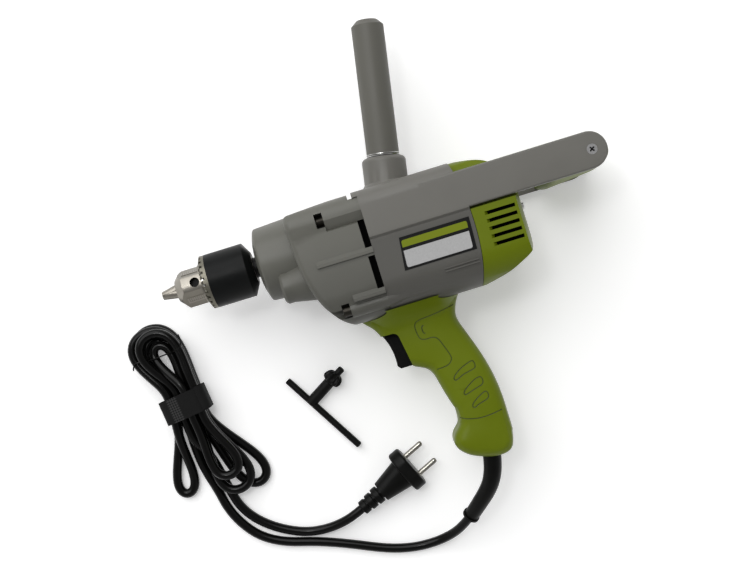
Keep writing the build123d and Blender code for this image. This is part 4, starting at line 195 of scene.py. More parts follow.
def grained_finish(
        name, colour, fine_scale, broad_scale, tone_spread, roughness, bump, metallic=0.0, gleam=0.5):
    """Finish with a fine grain in its surface and a broad drift in its tone and gloss."""
    material, tree, shader = new_finish(name)
    mark = place(tree, "ShaderNodeGroup", node_tree=grain)
    mark.inputs["Fine Scale"].default_value = fine_scale
    mark.inputs["Broad Scale"].default_value = broad_scale
    mark.inputs["Tone Spread"].default_value = tone_spread
    mark.inputs["Roughness"].default_value = roughness
    mark.inputs["Roughness Spread"].default_value = 0.2 * roughness
    shade = place(tree, "ShaderNodeHueSaturation", {"Value": mark.outputs["Tone"], "Color": (*colour, 1.0)})
    relief = place(tree, "ShaderNodeBump", {
        "Height": mark.outputs["Height"], "Strength": bump, "Distance": 0.0002})
    tree.links.new(shade.outputs["Color"], shader.inputs["Base Color"])
    tree.links.new(mark.outputs["Roughness"], shader.inputs["Roughness"])
    tree.links.new(relief.outputs["Normal"], shader.inputs["Normal"])
    shader.inputs["Metallic"].default_value = metallic
    shader.inputs["Specular IOR Level"].default_value = gleam
    return material


def joined_copy(node, material, corner=32.0):
    """Copy of a solid with its triangles joined, its round faces shaded smooth and its finish on it."""
    mesh = frame["nodes"][node].data.copy()
    if "custom_normal" in mesh.attributes:
        mesh.attributes.remove(mesh.attributes["custom_normal"])
    joined = bmesh.new()
    joined.from_mesh(mesh)
    bmesh.ops.remove_doubles(joined, verts=joined.verts, dist=0.000002)
    joined.to_mesh(mesh)
    joined.free()
    mesh.shade_smooth()
    mesh.set_sharp_from_angle(angle=radians(corner))
    mesh.materials.clear()
    mesh.materials.append(material)
    return new_piece(node + "_skin", mesh)


def stand_for(piece, node):
    """Puts a piece in the place of a solid, on the solid's body."""
    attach(piece, body_of[node])
    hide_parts(node)
    return piece


def smooth_skin(node, material, corner=32.0):
    return stand_for(joined_copy(node, material, corner), node)


def paint(material, *nodes):
    """Gives solids that stay as they are their finish."""
    for node in nodes:
        mesh = frame["nodes"][node].data
        mesh.materials.clear()
        mesh.materials.append(material)


def painted_shade_below(material, high, low, least):
    """Paints shade into a finish: its colour grows darker down the drill's flank, from one height over the
    grip to a lower one.
    """
    tree = material.node_tree
    shader = tree.nodes["Principled BSDF"]
    spot = place(tree, "ShaderNodeTexCoord")
    axes = place(tree, "ShaderNodeSeparateXYZ", {0: spot.outputs["Object"]})
    fall = place(tree, "ShaderNodeMapRange", {
        "Value": axes.outputs["Y"], "From Min": low, "From Max": high, "To Min": least},
        interpolation_type="SMOOTHSTEP")
    sprayed = shader.inputs["Base Color"].links[0].from_socket
    shade_dimmed = place(tree, "ShaderNodeHueSaturation", {"Value": fall.outputs["Result"], "Color": sprayed})
    tree.links.new(shade_dimmed.outputs["Color"], shader.inputs["Base Color"])


painted_casting = grained_finish(
    "painted_casting", (0.120, 0.119, 0.102), fine_scale=1400.0, broad_scale=28.0, tone_spread=0.05,
    roughness=0.44, bump=0.10, gleam=0.4)
# Painted shade: the grey grows darker down the gear housing's flank.
painted_shade_below(painted_casting, high=0.022, low=-0.030, least=0.68)
smooth_skin("gear_housing", painted_casting)
dark_screw = grained_finish(
    "dark_screw", (0.028, 0.025, 0.020), fine_scale=900.0, broad_scale=300.0, tone_spread=0.25,
    roughness=0.35, bump=0.15, metallic=0.8)
smooth_skin("case_screws", dark_screw)
zinc_plate = grained_finish(
    "zinc_plate", (0.62, 0.62, 0.60), fine_scale=700.0, broad_scale=90.0, tone_spread=0.08,
    roughness=0.30, bump=0.12, metallic=1.0)
paint(zinc_plate, "plate_screws", "grip_screws", "cap_screws", "clamp_screws")
# The bearing plate that shows through the vents is near black: partly a dark plate, partly painted shade
# inside the vents.
dark_plate_and_shade = grained_finish(
    "dark_plate_and_shade", (0.012, 0.012, 0.011), fine_scale=800.0, broad_scale=60.0, tone_spread=0.2,
    roughness=0.6, bump=0.3, gleam=0.1)
paint(dark_plate_and_shade, "bearing_plate")


# Spindle, bearings and gears
# Ground steel shafts with straight-cut gears, running in a ball bearing, a felt seal and bronze bushes.
# Only the blackened collar of the spindle shows, in front of the nose.

blackened_steel = grained_finish(
    "blackened_steel", (0.0035, 0.0035, 0.0032), fine_scale=1200.0, broad_scale=80.0, tone_spread=0.25,
    roughness=0.40, bump=0.15, gleam=0.14)
ground_steel = grained_finish(
    "ground_steel", (0.55, 0.55, 0.54), fine_scale=1100.0, broad_scale=120.0, tone_spread=0.06,
    roughness=0.24, bump=0.08, metallic=1.0)
sintered_bronze = grained_finish(
    "sintered_bronze", (0.48, 0.30, 0.13), fine_scale=2200.0, broad_scale=150.0, tone_spread=0.12,
    roughness=0.42, bump=0.3, metallic=1.0)
pressed_felt = grained_finish(
    "pressed_felt", (0.30, 0.29, 0.25), fine_scale=3500.0, broad_scale=300.0, tone_spread=0.25,
    roughness=0.95, bump=0.8)
smooth_skin("spindle", blackened_steel)
paint(ground_steel, "spindle_bearing", "motor_front_bearing", "motor_rear_bearing", "spindle_circlip",
      "spindle_gear", "lay_shaft", "lay_wheel", "armature_shaft")
paint(sintered_bronze, "shaft_bushes")
paint(pressed_felt, "nose_seal")


# Motor
# Stacked iron sheets and enamelled copper wire, a moulded fan, and carbon brushes on a copper commutator.
# All of it lies inside the housing.

def mixed(tree, share, first, second):
    """Output of a colour mix node."""
    return place(tree, "ShaderNodeMix", {0: share, 6: first, 7: second}, data_type="RGBA").outputs[2]


stacked_iron, tree, shader = new_finish("stacked_iron")
spot = place(tree, "ShaderNodeTexCoord")
sheets = place(tree, "ShaderNodeTexWave", {
    "Vector": spot.outputs["Object"], "Scale": 320.0, "Distortion": 0.3}, bands_direction="X")
iron_tone = spread(tree, sheets.outputs["Fac"], 0.10, 0.24)
sheet_edge = place(tree, "ShaderNodeBump", {
    "Height": sheets.outputs["Fac"], "Strength": 0.4, "Distance": 0.0002})
tree.links.new(iron_tone, shader.inputs["Base Color"])
tree.links.new(sheet_edge.outputs["Normal"], shader.inputs["Normal"])
shader.inputs["Metallic"].default_value = 0.9
shader.inputs["Roughness"].default_value = 0.45
paint(stacked_iron, "armature_core", "stator_core")

wound_copper, tree, shader = new_finish("wound_copper")
spot = place(tree, "ShaderNodeTexCoord")
strands = place(tree, "ShaderNodeTexWave", {
    "Vector": spot.outputs["Object"], "Scale": 260.0, "Distortion": 1.5, "Detail": 2.0},
    bands_direction="DIAGONAL")
enamel = mixed(tree, strands.outputs["Fac"], (0.22, 0.07, 0.02, 1.0), (0.50, 0.20, 0.07, 1.0))
strand_edge = place(tree, "ShaderNodeBump", {
    "Height": strands.outputs["Fac"], "Strength": 0.7, "Distance": 0.0003})
tree.links.new(enamel, shader.inputs["Base Color"])
tree.links.new(strand_edge.outputs["Normal"], shader.inputs["Normal"])
shader.inputs["Metallic"].default_value = 0.6
shader.inputs["Roughness"].default_value = 0.35
paint(wound_copper, "armature_windings", "stator_coils")

turned_copper = grained_finish(
    "turned_copper", (0.60, 0.28, 0.14), fine_scale=900.0, broad_scale=200.0, tone_spread=0.1,
    roughness=0.3, bump=0.1, metallic=1.0)
pressed_carbon = grained_finish(
    "pressed_carbon", (0.018, 0.018, 0.018), fine_scale=2500.0, broad_scale=200.0, tone_spread=0.3,
    roughness=0.7, bump=0.4)
black_moulding = grained_finish(
    "black_moulding", (0.0025, 0.0025, 0.0025), fine_scale=1300.0, broad_scale=50.0, tone_spread=0.15,
    roughness=0.45, bump=0.14, gleam=0.09)
paint(turned_copper, "commutator", "brush_holders")
paint(pressed_carbon, "brushes")
paint(ground_steel, "brush_springs")
paint(black_moulding, "fan", "brush_bridge")


# Motor housing, top handle and name plate
# A moulded housing in the same grey, with two long arms for the rear handle and a round collar on top.
# A plain tube with a bright ring at its foot stands on a stud in the collar, near-black sheets of painted
# shade lie behind the vents, and a bare printed plate sits on the left flank.

axis_height = 55.0
row_shift = (-11.75, 17.9498, axis_height)


def on_drill(*spot_mm):
    """Place in the scene of a point in the drill's own millimetres, whose X axis is the spindle's."""
    return tuple((way + shift) / 1000 for way, shift in zip(spot_mm, row_shift))


def turned_shape(name, stations, root, along, lobes, material):
    """Round bar or ring through stations: way along its axis, radius, depth of the dips between lobes."""
    across = along.orthogonal().normalized()
    third = along.cross(across)
    around = 96
    points = []
    faces = []
    for row, (way, radius, dip) in enumerate(stations):
        for step in range(around):
            turn = 2 * pi * step / around
            reach = radius - dip * (0.5 - 0.5 * cos(lobes * turn))
            outwards = across * cos(turn) + third * sin(turn)
            points.append(on_drill(*(root + along * way + outwards * reach)))
            if row:
                here = row * around + step
                ahead = row * around + (step + 1) % around
                faces.append((here - around, ahead - around, ahead, here))
    mesh = bpy.data.meshes.new(name)
    mesh.from_pydata(points, [], faces)
    mesh.shade_smooth()
    mesh.set_sharp_from_angle(angle=radians(40.0))
    mesh.materials.append(material)
    return new_piece(name, mesh)


grey_shell = grained_finish(
    "grey_shell", (0.136, 0.132, 0.118), fine_scale=1700.0, broad_scale=22.0, tone_spread=0.04,
    roughness=0.44, bump=0.07, gleam=0.4)
# Painted shade: the grey grows darker down the motor housing's flank, below the arms.
painted_shade_below(grey_shell, high=0.015, low=0.007, least=0.60)
smooth_skin("motor_housing", grey_shell)
tube_paint = grained_finish(
    "tube_paint", (0.112, 0.109, 0.094), fine_scale=1700.0, broad_scale=22.0, tone_spread=0.04,
    roughness=0.50, bump=0.07, gleam=0.35)
smooth_skin("top_handle", tube_paint)
tube_tilt = radians(10.1)
tube_root = Vector((26.65, 32.6, 0.0))
tube_along = Vector((sin(tube_tilt), cos(tube_tilt), 0.0))
foot_stations = [
    (24.6, 13.3, 0.0), (24.7, 13.8, 0.0), (25.3, 13.9, 0.0), (25.6, 13.3, 0.0),
    (25.9, 13.3, 0.0), (26.1, 13.8, 0.0), (26.6, 13.8, 0.0), (26.8, 13.3, 0.0),
]
tube_foot = turned_shape("tube_foot", foot_stations, tube_root, tube_along, 0, ground_steel)
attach(tube_foot, body_of["top_handle"])

# Painted shade: near-black sheets stand inside the housing behind the vent slots at the joint and in the
# rear cap, where there is only shade.
vent_shade_sheet = grained_finish(
    "vent_shade_sheet", (0.002, 0.002, 0.002), fine_scale=2600.0, broad_scale=300.0, tone_spread=0.3,
    roughness=0.9, bump=0.4, gleam=0.02)
shade_sheet_mesh = bpy.data.meshes.new("vent_shade_sheet")
shade_sheet_out = 47.0
shade_sheet_points = []
shade_sheet_faces = []
for x_low, x_high, y_low, y_high in ((-9.0, 3.0, -51.0, 24.0), (89.0, 118.0, -46.0, -9.0)):
    for height in (-shade_sheet_out, shade_sheet_out):
        start = len(shade_sheet_points)
        shade_sheet_points += [on_drill(x, y, height) for x, y in (
            (x_low, y_low), (x_high, y_low), (x_high, y_high), (x_low, y_high))]
        shade_sheet_faces.append((start, start + 1, start + 2, start + 3))
shade_sheet_mesh.from_pydata(shade_sheet_points, [], shade_sheet_faces)
shade_sheet_mesh.materials.append(vent_shade_sheet)
shade_sheet = new_piece("vent_shade_sheet", shade_sheet_mesh)
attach(shade_sheet, body_of["motor_housing"])
paint(zinc_plate, "top_handle_stud")

field = bpy.data.node_groups.new("printed_field", "ShaderNodeTree")
for name, kind in (("Place", "NodeSocketVector"), ("Middle", "NodeSocketVector"),
                   ("Straight Half", "NodeSocketVector"), ("Corner", "NodeSocketFloat")):
    field.interface.new_socket(name, in_out="INPUT", socket_type=kind)
field.interface.new_socket("Inside", in_out="OUTPUT", socket_type="NodeSocketFloat")
entry = place(field, "NodeGroupInput")
aside = place(field, "ShaderNodeVectorMath", {
    0: entry.outputs["Place"], 1: entry.outputs["Middle"]}, operation="SUBTRACT")
folded = place(field, "ShaderNodeVectorMath", {0: aside.outputs[0]}, operation="ABSOLUTE")
past = place(field, "ShaderNodeVectorMath", {
    0: folded.outputs[0], 1: entry.outputs["Straight Half"]}, operation="SUBTRACT")
outer = place(field, "ShaderNodeVectorMath", {0: past.outputs[0], 1: (0.0, 0.0, 0.0)}, operation="MAXIMUM")
flat = place(field, "ShaderNodeVectorMath", {0: outer.outputs[0], 1: (1.0, 1.0, 0.0)}, operation="MULTIPLY")
away = place(field, "ShaderNodeVectorMath", {0: flat.outputs[0]}, operation="LENGTH")
inside = reckon(field, "LESS_THAN", away.outputs["Value"], entry.outputs["Corner"])
place(field, "NodeGroupOutput", {"Inside": inside})

plate_low, plate_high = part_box("name_plate")
plate_middle = (plate_low + plate_high) / 2
field_corner = 0.0016
print_rim = 0.0026
side_rim = 0.0032
foot_rim = 0.0018
band_height = 0.0056
line_height = 0.0026
band_green = (0.17, 0.21, 0.010, 1.0)
slant = 0.055
printed_plate, tree, shader = new_finish("printed_plate")
spot = place(tree, "ShaderNodeTexCoord")
axes = place(tree, "ShaderNodeSeparateXYZ", {0: spot.outputs["Object"]})
lean = reckon(tree, "MULTIPLY", axes.outputs["Y"], -slant)
upright = place(tree, "ShaderNodeCombineXYZ", {"Y": axes.outputs["Y"]})
straight = reckon(tree, "ADD", axes.outputs["X"], lean)
tree.links.new(straight, upright.inputs["X"])
middle_x = plate_middle.x - slant * plate_middle.y
half_x = (plate_high.x - plate_low.x) / 2 - side_rim - field_corner
top_y = plate_high.y - print_rim
low_y = plate_low.y + foot_rim
band_low = top_y - band_height
line_low = band_low - line_height
brushed = place(tree, "ShaderNodeTexNoise", {
    "Vector": spot.outputs["Object"], "Scale": 900.0, "Detail": 2.0})
silver = spread(tree, brushed.outputs["Fac"], 0.36, 0.46)
ink = spread(tree, brushed.outputs["Fac"], 0.004, 0.009)
area = place(tree, "ShaderNodeGroup", {"Place": upright.outputs[0]}, node_tree=field)
area.inputs["Middle"].default_value = (middle_x, (low_y + top_y) / 2, 0.0)
area.inputs["Straight Half"].default_value = (half_x, (top_y - low_y) / 2 - field_corner, 0.0)
area.inputs["Corner"].default_value = field_corner
in_line = reckon(tree, "GREATER_THAN", axes.outputs["Y"], line_low)
in_band = reckon(tree, "GREATER_THAN", axes.outputs["Y"], band_low)
lined = mixed(tree, in_line, silver, ink)
banded = mixed(tree, in_band, lined, band_green)
printed = mixed(tree, area.outputs["Inside"], ink, banded)
tree.links.new(printed, shader.inputs["Base Color"])
foil_gloss = spread(tree, brushed.outputs["Fac"], 0.28, 0.40)
tree.links.new(foil_gloss, shader.inputs["Roughness"])
shader.inputs["Specular IOR Level"].default_value = 0.15
smooth_skin("name_plate", printed_plate)


# Rear cap, cross handle and pistol grip
# Green mouldings: the cap over the brushes with its vent slots, the bar between the arms and the two
# halves of the grip, all with a fine spark-eroded grain.

green_moulding = grained_finish(
    "green_moulding", (0.122, 0.160, 0.002), fine_scale=1900.0, broad_scale=24.0, tone_spread=0.05,
    roughness=0.40, bump=0.08, gleam=0.18)
moulding_corner = 40.0
for node in ("rear_cap", "cross_grip"):
    smooth_skin(node, green_moulding, moulding_corner)


def eased_line(points, closed):
    """Points along a smooth line near the given ones."""
    line = bpy.data.curves.new("line", "CURVE")
    line.dimensions = "3D"
    line.resolution_u = 6
    run = line.splines.new("NURBS")
    run.points.add(len(points) - 1)
    for point, (x, y) in zip(run.points, points):
        point.co = (x, y, 0.0, 1.0)
    run.order_u = 3
    run.use_endpoint_u = not closed
    run.use_cyclic_u = closed
    holder = bpy.data.objects.new("line", line)
    mesh = bpy.data.meshes.new_from_object(holder)
    found = [vertex.co.copy() for vertex in mesh.vertices]
    bpy.data.objects.remove(holder)
    return found


def engrave(piece, lines, side, gauge, material):
    """Cuts half-round grooves into a piece, along lines seen from one side of the drill."""
    clear_height = 60.0
    surface = BVHTree.FromPolygons(
        [vertex.co for vertex in piece.data.vertices], [face.vertices for face in piece.data.polygons])
    tool_line = bpy.data.curves.new("groove", "CURVE")
    tool_line.dimensions = "3D"
    tool_line.bevel_depth = gauge / 2000
    tool_line.bevel_resolution = 2
    tool_line.use_fill_caps = True
    for points, closed in lines:
        reached = []
        for spot in eased_line(points, closed):
            above = Vector(on_drill(spot.x, spot.y, clear_height * side))
            hit = surface.ray_cast(above, Vector((0.0, 0.0, -side)))[0]
            if hit is not None:
                reached.append(hit)
        groove = tool_line.splines.new("POLY")
        groove.points.add(len(reached) - 1)
        for point, hit in zip(groove.points, reached):
            point.co = (*hit, 1.0)
        groove.use_cyclic_u = closed
    tool_line.materials.append(material)
    drawn = bpy.data.objects.new("groove", tool_line)
    cutter = new_piece("groove_cutter", bpy.data.meshes.new_from_object(drawn))
    cut = piece.modifiers.new("grooves", "BOOLEAN")
    cut.operation = "DIFFERENCE"
    cut.solver = "EXACT"
    cut.material_mode = "TRANSFER"
    cut.object = cutter
    shape = piece.evaluated_get(bpy.context.evaluated_depsgraph_get())
    mesh = bpy.data.meshes.new_from_object(shape)
    piece.modifiers.clear()
    piece.data = mesh
    mesh.set_sharp_from_angle(angle=radians(moulding_corner))
    bpy.data.objects.remove(drawn)
    bpy.data.objects.remove(cutter)


panel_line = [
    (49.3, -76.4), (39.6, -78.0), (29.0, -79.4), (20.6, -79.9), (16.2, -80.9), (14.4, -82.8),
    (13.8, -86.0), (14.2, -90.7), (15.2, -94.9), (17.6, -96.4), (21.0, -96.9), (24.2, -96.4),
    (28.0, -97.6), (30.3, -101.0), (32.1, -106.3), (34.2, -112.2), (35.4, -116.9), (34.2, -119.4),
    (31.9, -121.5), (28.5, -122.5), (21.2, -122.8),
]
bracket_line = [(21.2, -85.3), (19.2, -85.7), (19.2, -89.2), (19.3, -91.7), (20.8, -91.9)]
foot_line = [
    (26.6, -165.3), (30.5, -167.6), (37.1, -169.3), (42.4, -170.4), (48.5, -170.5), (55.4, -169.9),
    (62.0, -168.9),
]
finger_marks = [
    [(46.9, -124.8), (50.7, -123.8), (51.7, -126.6), (51.5, -130.4), (46.7, -131.6), (40.2, -132.7),
     (36.0, -134.8), (32.8, -135.9), (31.7, -133.6), (35.4, -130.0), (41.0, -126.8)],
    [(49.4, -138.6), (53.2, -138.3), (54.2, -141.1), (53.5, -144.7), (48.3, -146.2), (42.8, -147.6),
     (38.4, -149.1), (36.3, -148.8), (36.7, -146.3), (41.1, -143.0), (45.5, -140.3)],
    [(51.7, -151.1), (54.4, -151.0), (55.2, -154.5), (54.0, -157.2), (48.6, -158.6), (44.1, -159.8),
     (41.6, -161.5), (39.8, -160.1), (40.8, -157.7), (45.2, -154.5)],
]
grip_lines = [(panel_line, False), (bracket_line, False), (foot_line, False)]
grip_lines += [(mark, True) for mark in finger_marks]
# Painted shade: the groove walls get a darker green than the moulding, standing in for the shade inside the
# grooves.
groove_shade_green = grained_finish(
    "groove_shade_green", (0.042, 0.060, 0.004), fine_scale=1900.0, broad_scale=24.0, tone_spread=0.08,
    roughness=0.55, bump=0.08)
groove_width = 0.9
for node, side in (("grip_left", 1), ("grip_right", -1)):
    half = joined_copy(node, green_moulding, moulding_corner)
    engrave(half, grip_lines, side, groove_width, groove_shade_green)
    stand_for(half, node)

screw_zinc, tree, shader = new_finish("screw_zinc")
spot = place(tree, "ShaderNodeTexCoord")
axes = place(tree, "ShaderNodeSeparateXYZ", {0: spot.outputs["Object"]})
head_out = 0.0549
off_middle = reckon(tree, "SUBTRACT", axes.outputs["Z"], axis_height / 1000)
way_out = reckon(tree, "ABSOLUTE", off_middle)
on_face = reckon(tree, "GREATER_THAN", way_out, head_out)
plated = place(tree, "ShaderNodeTexNoise", {
    "Vector": spot.outputs["Object"], "Scale": 700.0, "Detail": 3.0})
zinc_tone = spread(tree, plated.outputs["Fac"], 0.34, 0.50)
# Painted shade: only the screw head's flat outer face is plated zinc; everything sunk below it is painted
# near black and dull.
recess_shade_painted = mixed(tree, on_face, (0.006, 0.006, 0.006, 1.0), zinc_tone)
tree.links.new(recess_shade_painted, shader.inputs["Base Color"])
tree.links.new(on_face, shader.inputs["Metallic"])
shader.inputs["Roughness"].default_value = 0.35
shader.inputs["Specular IOR Level"].default_value = 0.1
smooth_skin("arm_screws", screw_zinc)
paint(zinc_plate, "cross_grip_rod")


# Trigger and switch
# A black moulded trigger that slides straight back on a wound steel spring.
# The switch block sits behind it between the halves of the grip, over the lead's clamp.

smooth_skin("trigger", black_moulding)
spring_skin = smooth_skin("trigger_spring", ground_steel)
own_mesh(spring_skin)
paint(black_moulding, "switch", "cord_clamp")


# Keyed chuck
# A turned steel body with milled flats, three key holes and three ground jaws in sloping bores.
# A toothed ring and a black sleeve are pressed over the ring nut that drives the jaws.

axis_spot = on_drill(0.0, 0.0, 0.0)
chuck_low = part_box("chuck_body")[0]
hole_angle = radians(80.3)
hole_way = 0.0175
hole_radius = 0.0042
hole_floor = 0.0150
jaw_angle = radians(140.3)
jaw_pitch = 2 * pi / 3
flat_radius = 0.0128
flat_slack = 0.0001
jaw_room = 0.0122

turned_steel, tree, shader = new_finish("turned_steel")
spot = place(tree, "ShaderNodeTexCoord")
lathe = place(tree, "ShaderNodeTexWave", {
    "Vector": spot.outputs["Object"], "Scale": 700.0, "Distortion": 2.0, "Detail": 2.0},
    bands_direction="X")
cloud = place(tree, "ShaderNodeTexNoise", {
    "Vector": spot.outputs["Object"], "Scale": 120.0, "Detail": 4.0})
steel_tone = spread(tree, cloud.outputs["Fac"], 0.75, 1.15)
steel_gloss = spread(tree, cloud.outputs["Fac"], 0.26, 0.44)
lathe_line = place(tree, "ShaderNodeBump", {
    "Height": lathe.outputs["Fac"], "Strength": 0.12, "Distance": 0.0001})
steel = place(tree, "ShaderNodeHueSaturation", {"Value": steel_tone, "Color": (0.31, 0.29, 0.255, 1.0)})
from_axis = place(tree, "ShaderNodeVectorMath", {
    0: spot.outputs["Object"], 1: axis_spot}, operation="SUBTRACT")
axes = place(tree, "ShaderNodeSeparateXYZ", {0: from_axis.outputs[0]})
sideways = place(tree, "ShaderNodeCombineXYZ", {"Y": axes.outputs["Y"], "Z": axes.outputs["Z"]})
out = place(tree, "ShaderNodeVectorMath", {0: sideways.outputs[0]}, operation="LENGTH")
bearing = reckon(tree, "ARCTAN2", axes.outputs["Z"], axes.outputs["Y"])
from_hole = reckon(tree, "SUBTRACT", bearing, hole_angle)
nearest = reckon(tree, "WRAP", from_hole, jaw_pitch / 2, -jaw_pitch / 2)
arc = reckon(tree, "MULTIPLY", nearest, out.outputs["Value"])
hole_x = chuck_low.x + hole_way - axis_spot[0]
ahead = reckon(tree, "SUBTRACT", axes.outputs["X"], hole_x)
offset = place(tree, "ShaderNodeCombineXYZ", {"X": arc, "Y": ahead})
from_rim = place(tree, "ShaderNodeVectorMath", {0: offset.outputs[0]}, operation="LENGTH")
in_round = reckon(tree, "LESS_THAN", from_rim.outputs["Value"], hole_radius)
under_skin = reckon(tree, "LESS_THAN", out.outputs["Value"], hole_floor)
in_hole = reckon(tree, "MULTIPLY", in_round, under_skin)
from_jaw = reckon(tree, "SUBTRACT", bearing, jaw_angle)
jaw_side = reckon(tree, "WRAP", from_jaw, jaw_pitch / 2, -jaw_pitch / 2)
slope = reckon(tree, "COSINE", jaw_side)
flat_out = reckon(tree, "MULTIPLY", slope, out.outputs["Value"])
on_flat = reckon(tree, "COMPARE", flat_out, flat_radius, flat_slack)
off_jaws = reckon(tree, "GREATER_THAN", out.outputs["Value"], jaw_room)
in_flat = reckon(tree, "MULTIPLY", on_flat, off_jaws)
# Painted reflection: the milled flats get a darker steel, standing in for the dark surroundings they
# reflect.
flat_reflection_painted = mixed(tree, in_flat, steel.outputs["Color"], (0.22, 0.205, 0.175, 1.0))
# Painted shade: inside the key holes, below the body's skin, the steel is painted near black.
hole_shade_painted = mixed(tree, in_hole, flat_reflection_painted, (0.008, 0.008, 0.008, 1.0))
tree.links.new(hole_shade_painted, shader.inputs["Base Color"])
tree.links.new(steel_gloss, shader.inputs["Roughness"])
tree.links.new(lathe_line.outputs["Normal"], shader.inputs["Normal"])
shader.inputs["Metallic"].default_value = 1.0
for node in ("chuck_body", "chuck_jaw_a", "chuck_jaw_b", "chuck_jaw_c"):
    smooth_skin(node, turned_steel)
ring_steel = grained_finish(
    "ring_steel", (0.20, 0.19, 0.155), fine_scale=1300.0, broad_scale=160.0, tone_spread=0.2,
    roughness=0.46, bump=0.2, metallic=1.0)
smooth_skin("chuck_ring", ring_steel)
black_sleeve = grained_finish(
    "black_sleeve", (0.005, 0.0055, 0.0055), fine_scale=1500.0, broad_scale=45.0, tone_spread=0.25,
    roughness=0.40, bump=0.10, gleam=0.12)
smooth_skin("chuck_sleeve", black_sleeve)
paint(ground_steel, "chuck_nut")

thread = bpy.data.node_groups.new("jaw_thread", "GeometryNodeTree")
for name, kind, start in (("Teeth", "NodeSocketInt", 10), ("Pitch", "NodeSocketFloat", 0.0017),
                          ("Start", "NodeSocketFloat", 0.0), ("Out", "NodeSocketFloat", 0.0121),
                          ("Jaws", "NodeSocketInt", 3), ("First Turn", "NodeSocketFloat", jaw_angle)):
    thread.interface.new_socket(name, in_out="INPUT", socket_type=kind).default_value = start
thread.interface.new_socket("Steel", in_out="INPUT", socket_type="NodeSocketMaterial")
thread.interface.new_socket("Geometry", in_out="OUTPUT", socket_type="NodeSocketGeometry")
tooth_size = (0.0010, 0.0022, 0.0048)
back_size = (0.0163, 0.0022, 0.0016)
back_ahead = 0.0076
back_aside = 0.0030
entry = place(thread, "NodeGroupInput")
tooth = place(thread, "GeometryNodeMeshCube", {"Size": tooth_size})
first = place(thread, "ShaderNodeCombineXYZ", {"X": entry.outputs["Start"], "Y": entry.outputs["Out"]})
step = place(thread, "ShaderNodeCombineXYZ", {"X": entry.outputs["Pitch"]})
row = place(thread, "GeometryNodeMeshLine", {
    "Count": entry.outputs["Teeth"], "Start Location": first.outputs[0], "Offset": step.outputs[0]})
teeth = place(thread, "GeometryNodeInstanceOnPoints", {
    "Points": row.outputs["Mesh"], "Instance": tooth.outputs["Mesh"]})
back = place(thread, "GeometryNodeMeshCube", {"Size": back_size})
back_way = reckon(thread, "ADD", entry.outputs["Start"], back_ahead)
back_place = place(thread, "ShaderNodeCombineXYZ", {
    "X": back_way, "Y": entry.outputs["Out"], "Z": back_aside})
sunk = place(thread, "GeometryNodeTransform", {
    "Geometry": back.outputs["Mesh"], "Translation": back_place.outputs[0]})
one_jaw = place(thread, "GeometryNodeJoinGeometry")
thread.links.new(teeth.outputs["Instances"], one_jaw.inputs[0])
thread.links.new(sunk.outputs[0], one_jaw.inputs[0])
stack = place(thread, "GeometryNodeMeshLine", {"Count": entry.outputs["Jaws"], "Offset": (0.0, 0.0, 0.0)})
number = place(thread, "GeometryNodeInputIndex")
turn = reckon(thread, "MULTIPLY_ADD", number.outputs[0], jaw_pitch, entry.outputs["First Turn"])
facing = place(thread, "ShaderNodeCombineXYZ", {"X": turn})
jaws = place(thread, "GeometryNodeInstanceOnPoints", {
    "Points": stack.outputs["Mesh"], "Instance": one_jaw.outputs[0], "Rotation": facing.outputs[0]})
moved = place(thread, "GeometryNodeTransform", {
    "Geometry": jaws.outputs["Instances"], "Translation": axis_spot})
real = place(thread, "GeometryNodeRealizeInstances", {"Geometry": moved.outputs[0]})
dressed = place(thread, "GeometryNodeSetMaterial", {
    "Geometry": real.outputs[0], "Material": entry.outputs["Steel"]})
place(thread, "NodeGroupOutput", {"Geometry": dressed.outputs[0]})

jaw_backs = new_piece("jaw_backs", bpy.data.meshes.new("jaw_backs"))
rows = jaw_backs.modifiers.new("rows", "NODES")
rows.node_group = thread
first_tooth = 0.0078
settings = {"Start": chuck_low.x + first_tooth - axis_spot[0], "Steel": turned_steel}
for item in thread.interface.items_tree:
    if item.name in settings and item.in_out == "INPUT":
        rows[item.identifier] = settings[item.name]
drawn = jaw_backs.evaluated_get(bpy.context.evaluated_depsgraph_get())
jaw_backs.data = bpy.data.meshes.new_from_object(drawn)
jaw_backs.modifiers.clear()
jaw_backs.data.shade_smooth()
jaw_backs.data.set_sharp_from_angle(angle=radians(35.0))
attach(jaw_backs, body_of["chuck_body"])


# Lead, strap and plug
# A two-core rubber lead leaves the grip through a bend protector, lies along the table to a tied hank of
# five upper folds and four lower ones, and comes back to a moulded two-pin plug.

cord_width = 8.0
lying = -50.9
run_points = [
    (13.2, -254.5, -27.2), (4.7, -262.1, -34.4), (-7.0, -268.6, -43.5), (-22.5, -272.0, -49.5),
    (-42.0, -271.3, lying), (-64.0, -265.5, lying), (-93.4, -252.0, lying), (-120.0, -241.5, lying),
    (-147.4, -234.0, lying), (-167.0, -222.5, lying), (-180.0, -205.5, lying), (-187.0, -189.0, lying),
    (-189.4, -174.5, lying), (-195.4, -154.0, lying), (-198.2, -132.0, lying),
]
tail_points = [
    (-196.0, -124.0, lying + 9.5), (-187.2, -141.0, lying + 0.6), (-182.8, -160.0, lying),
    (-179.3, -179.5, lying), (-175.5, -192.5, lying), (-167.5, -205.0, lying), (-155.0, -216.5, lying),
    (-141.0, -225.0, lying), (-127.0, -231.0, lying), (-112.0, -233.2, -49.8), (-97.0, -231.9, -45.8),
    (-83.6, -228.2, -42.0), (-74.2, -224.05, -41.5),
]
strap_middle = (-193.2, -93.5)
strap_half = 11.5
strap_gauge = 1.4
layer_rise = 8.3
column_pitch = 8.4
middle_column = 1.5


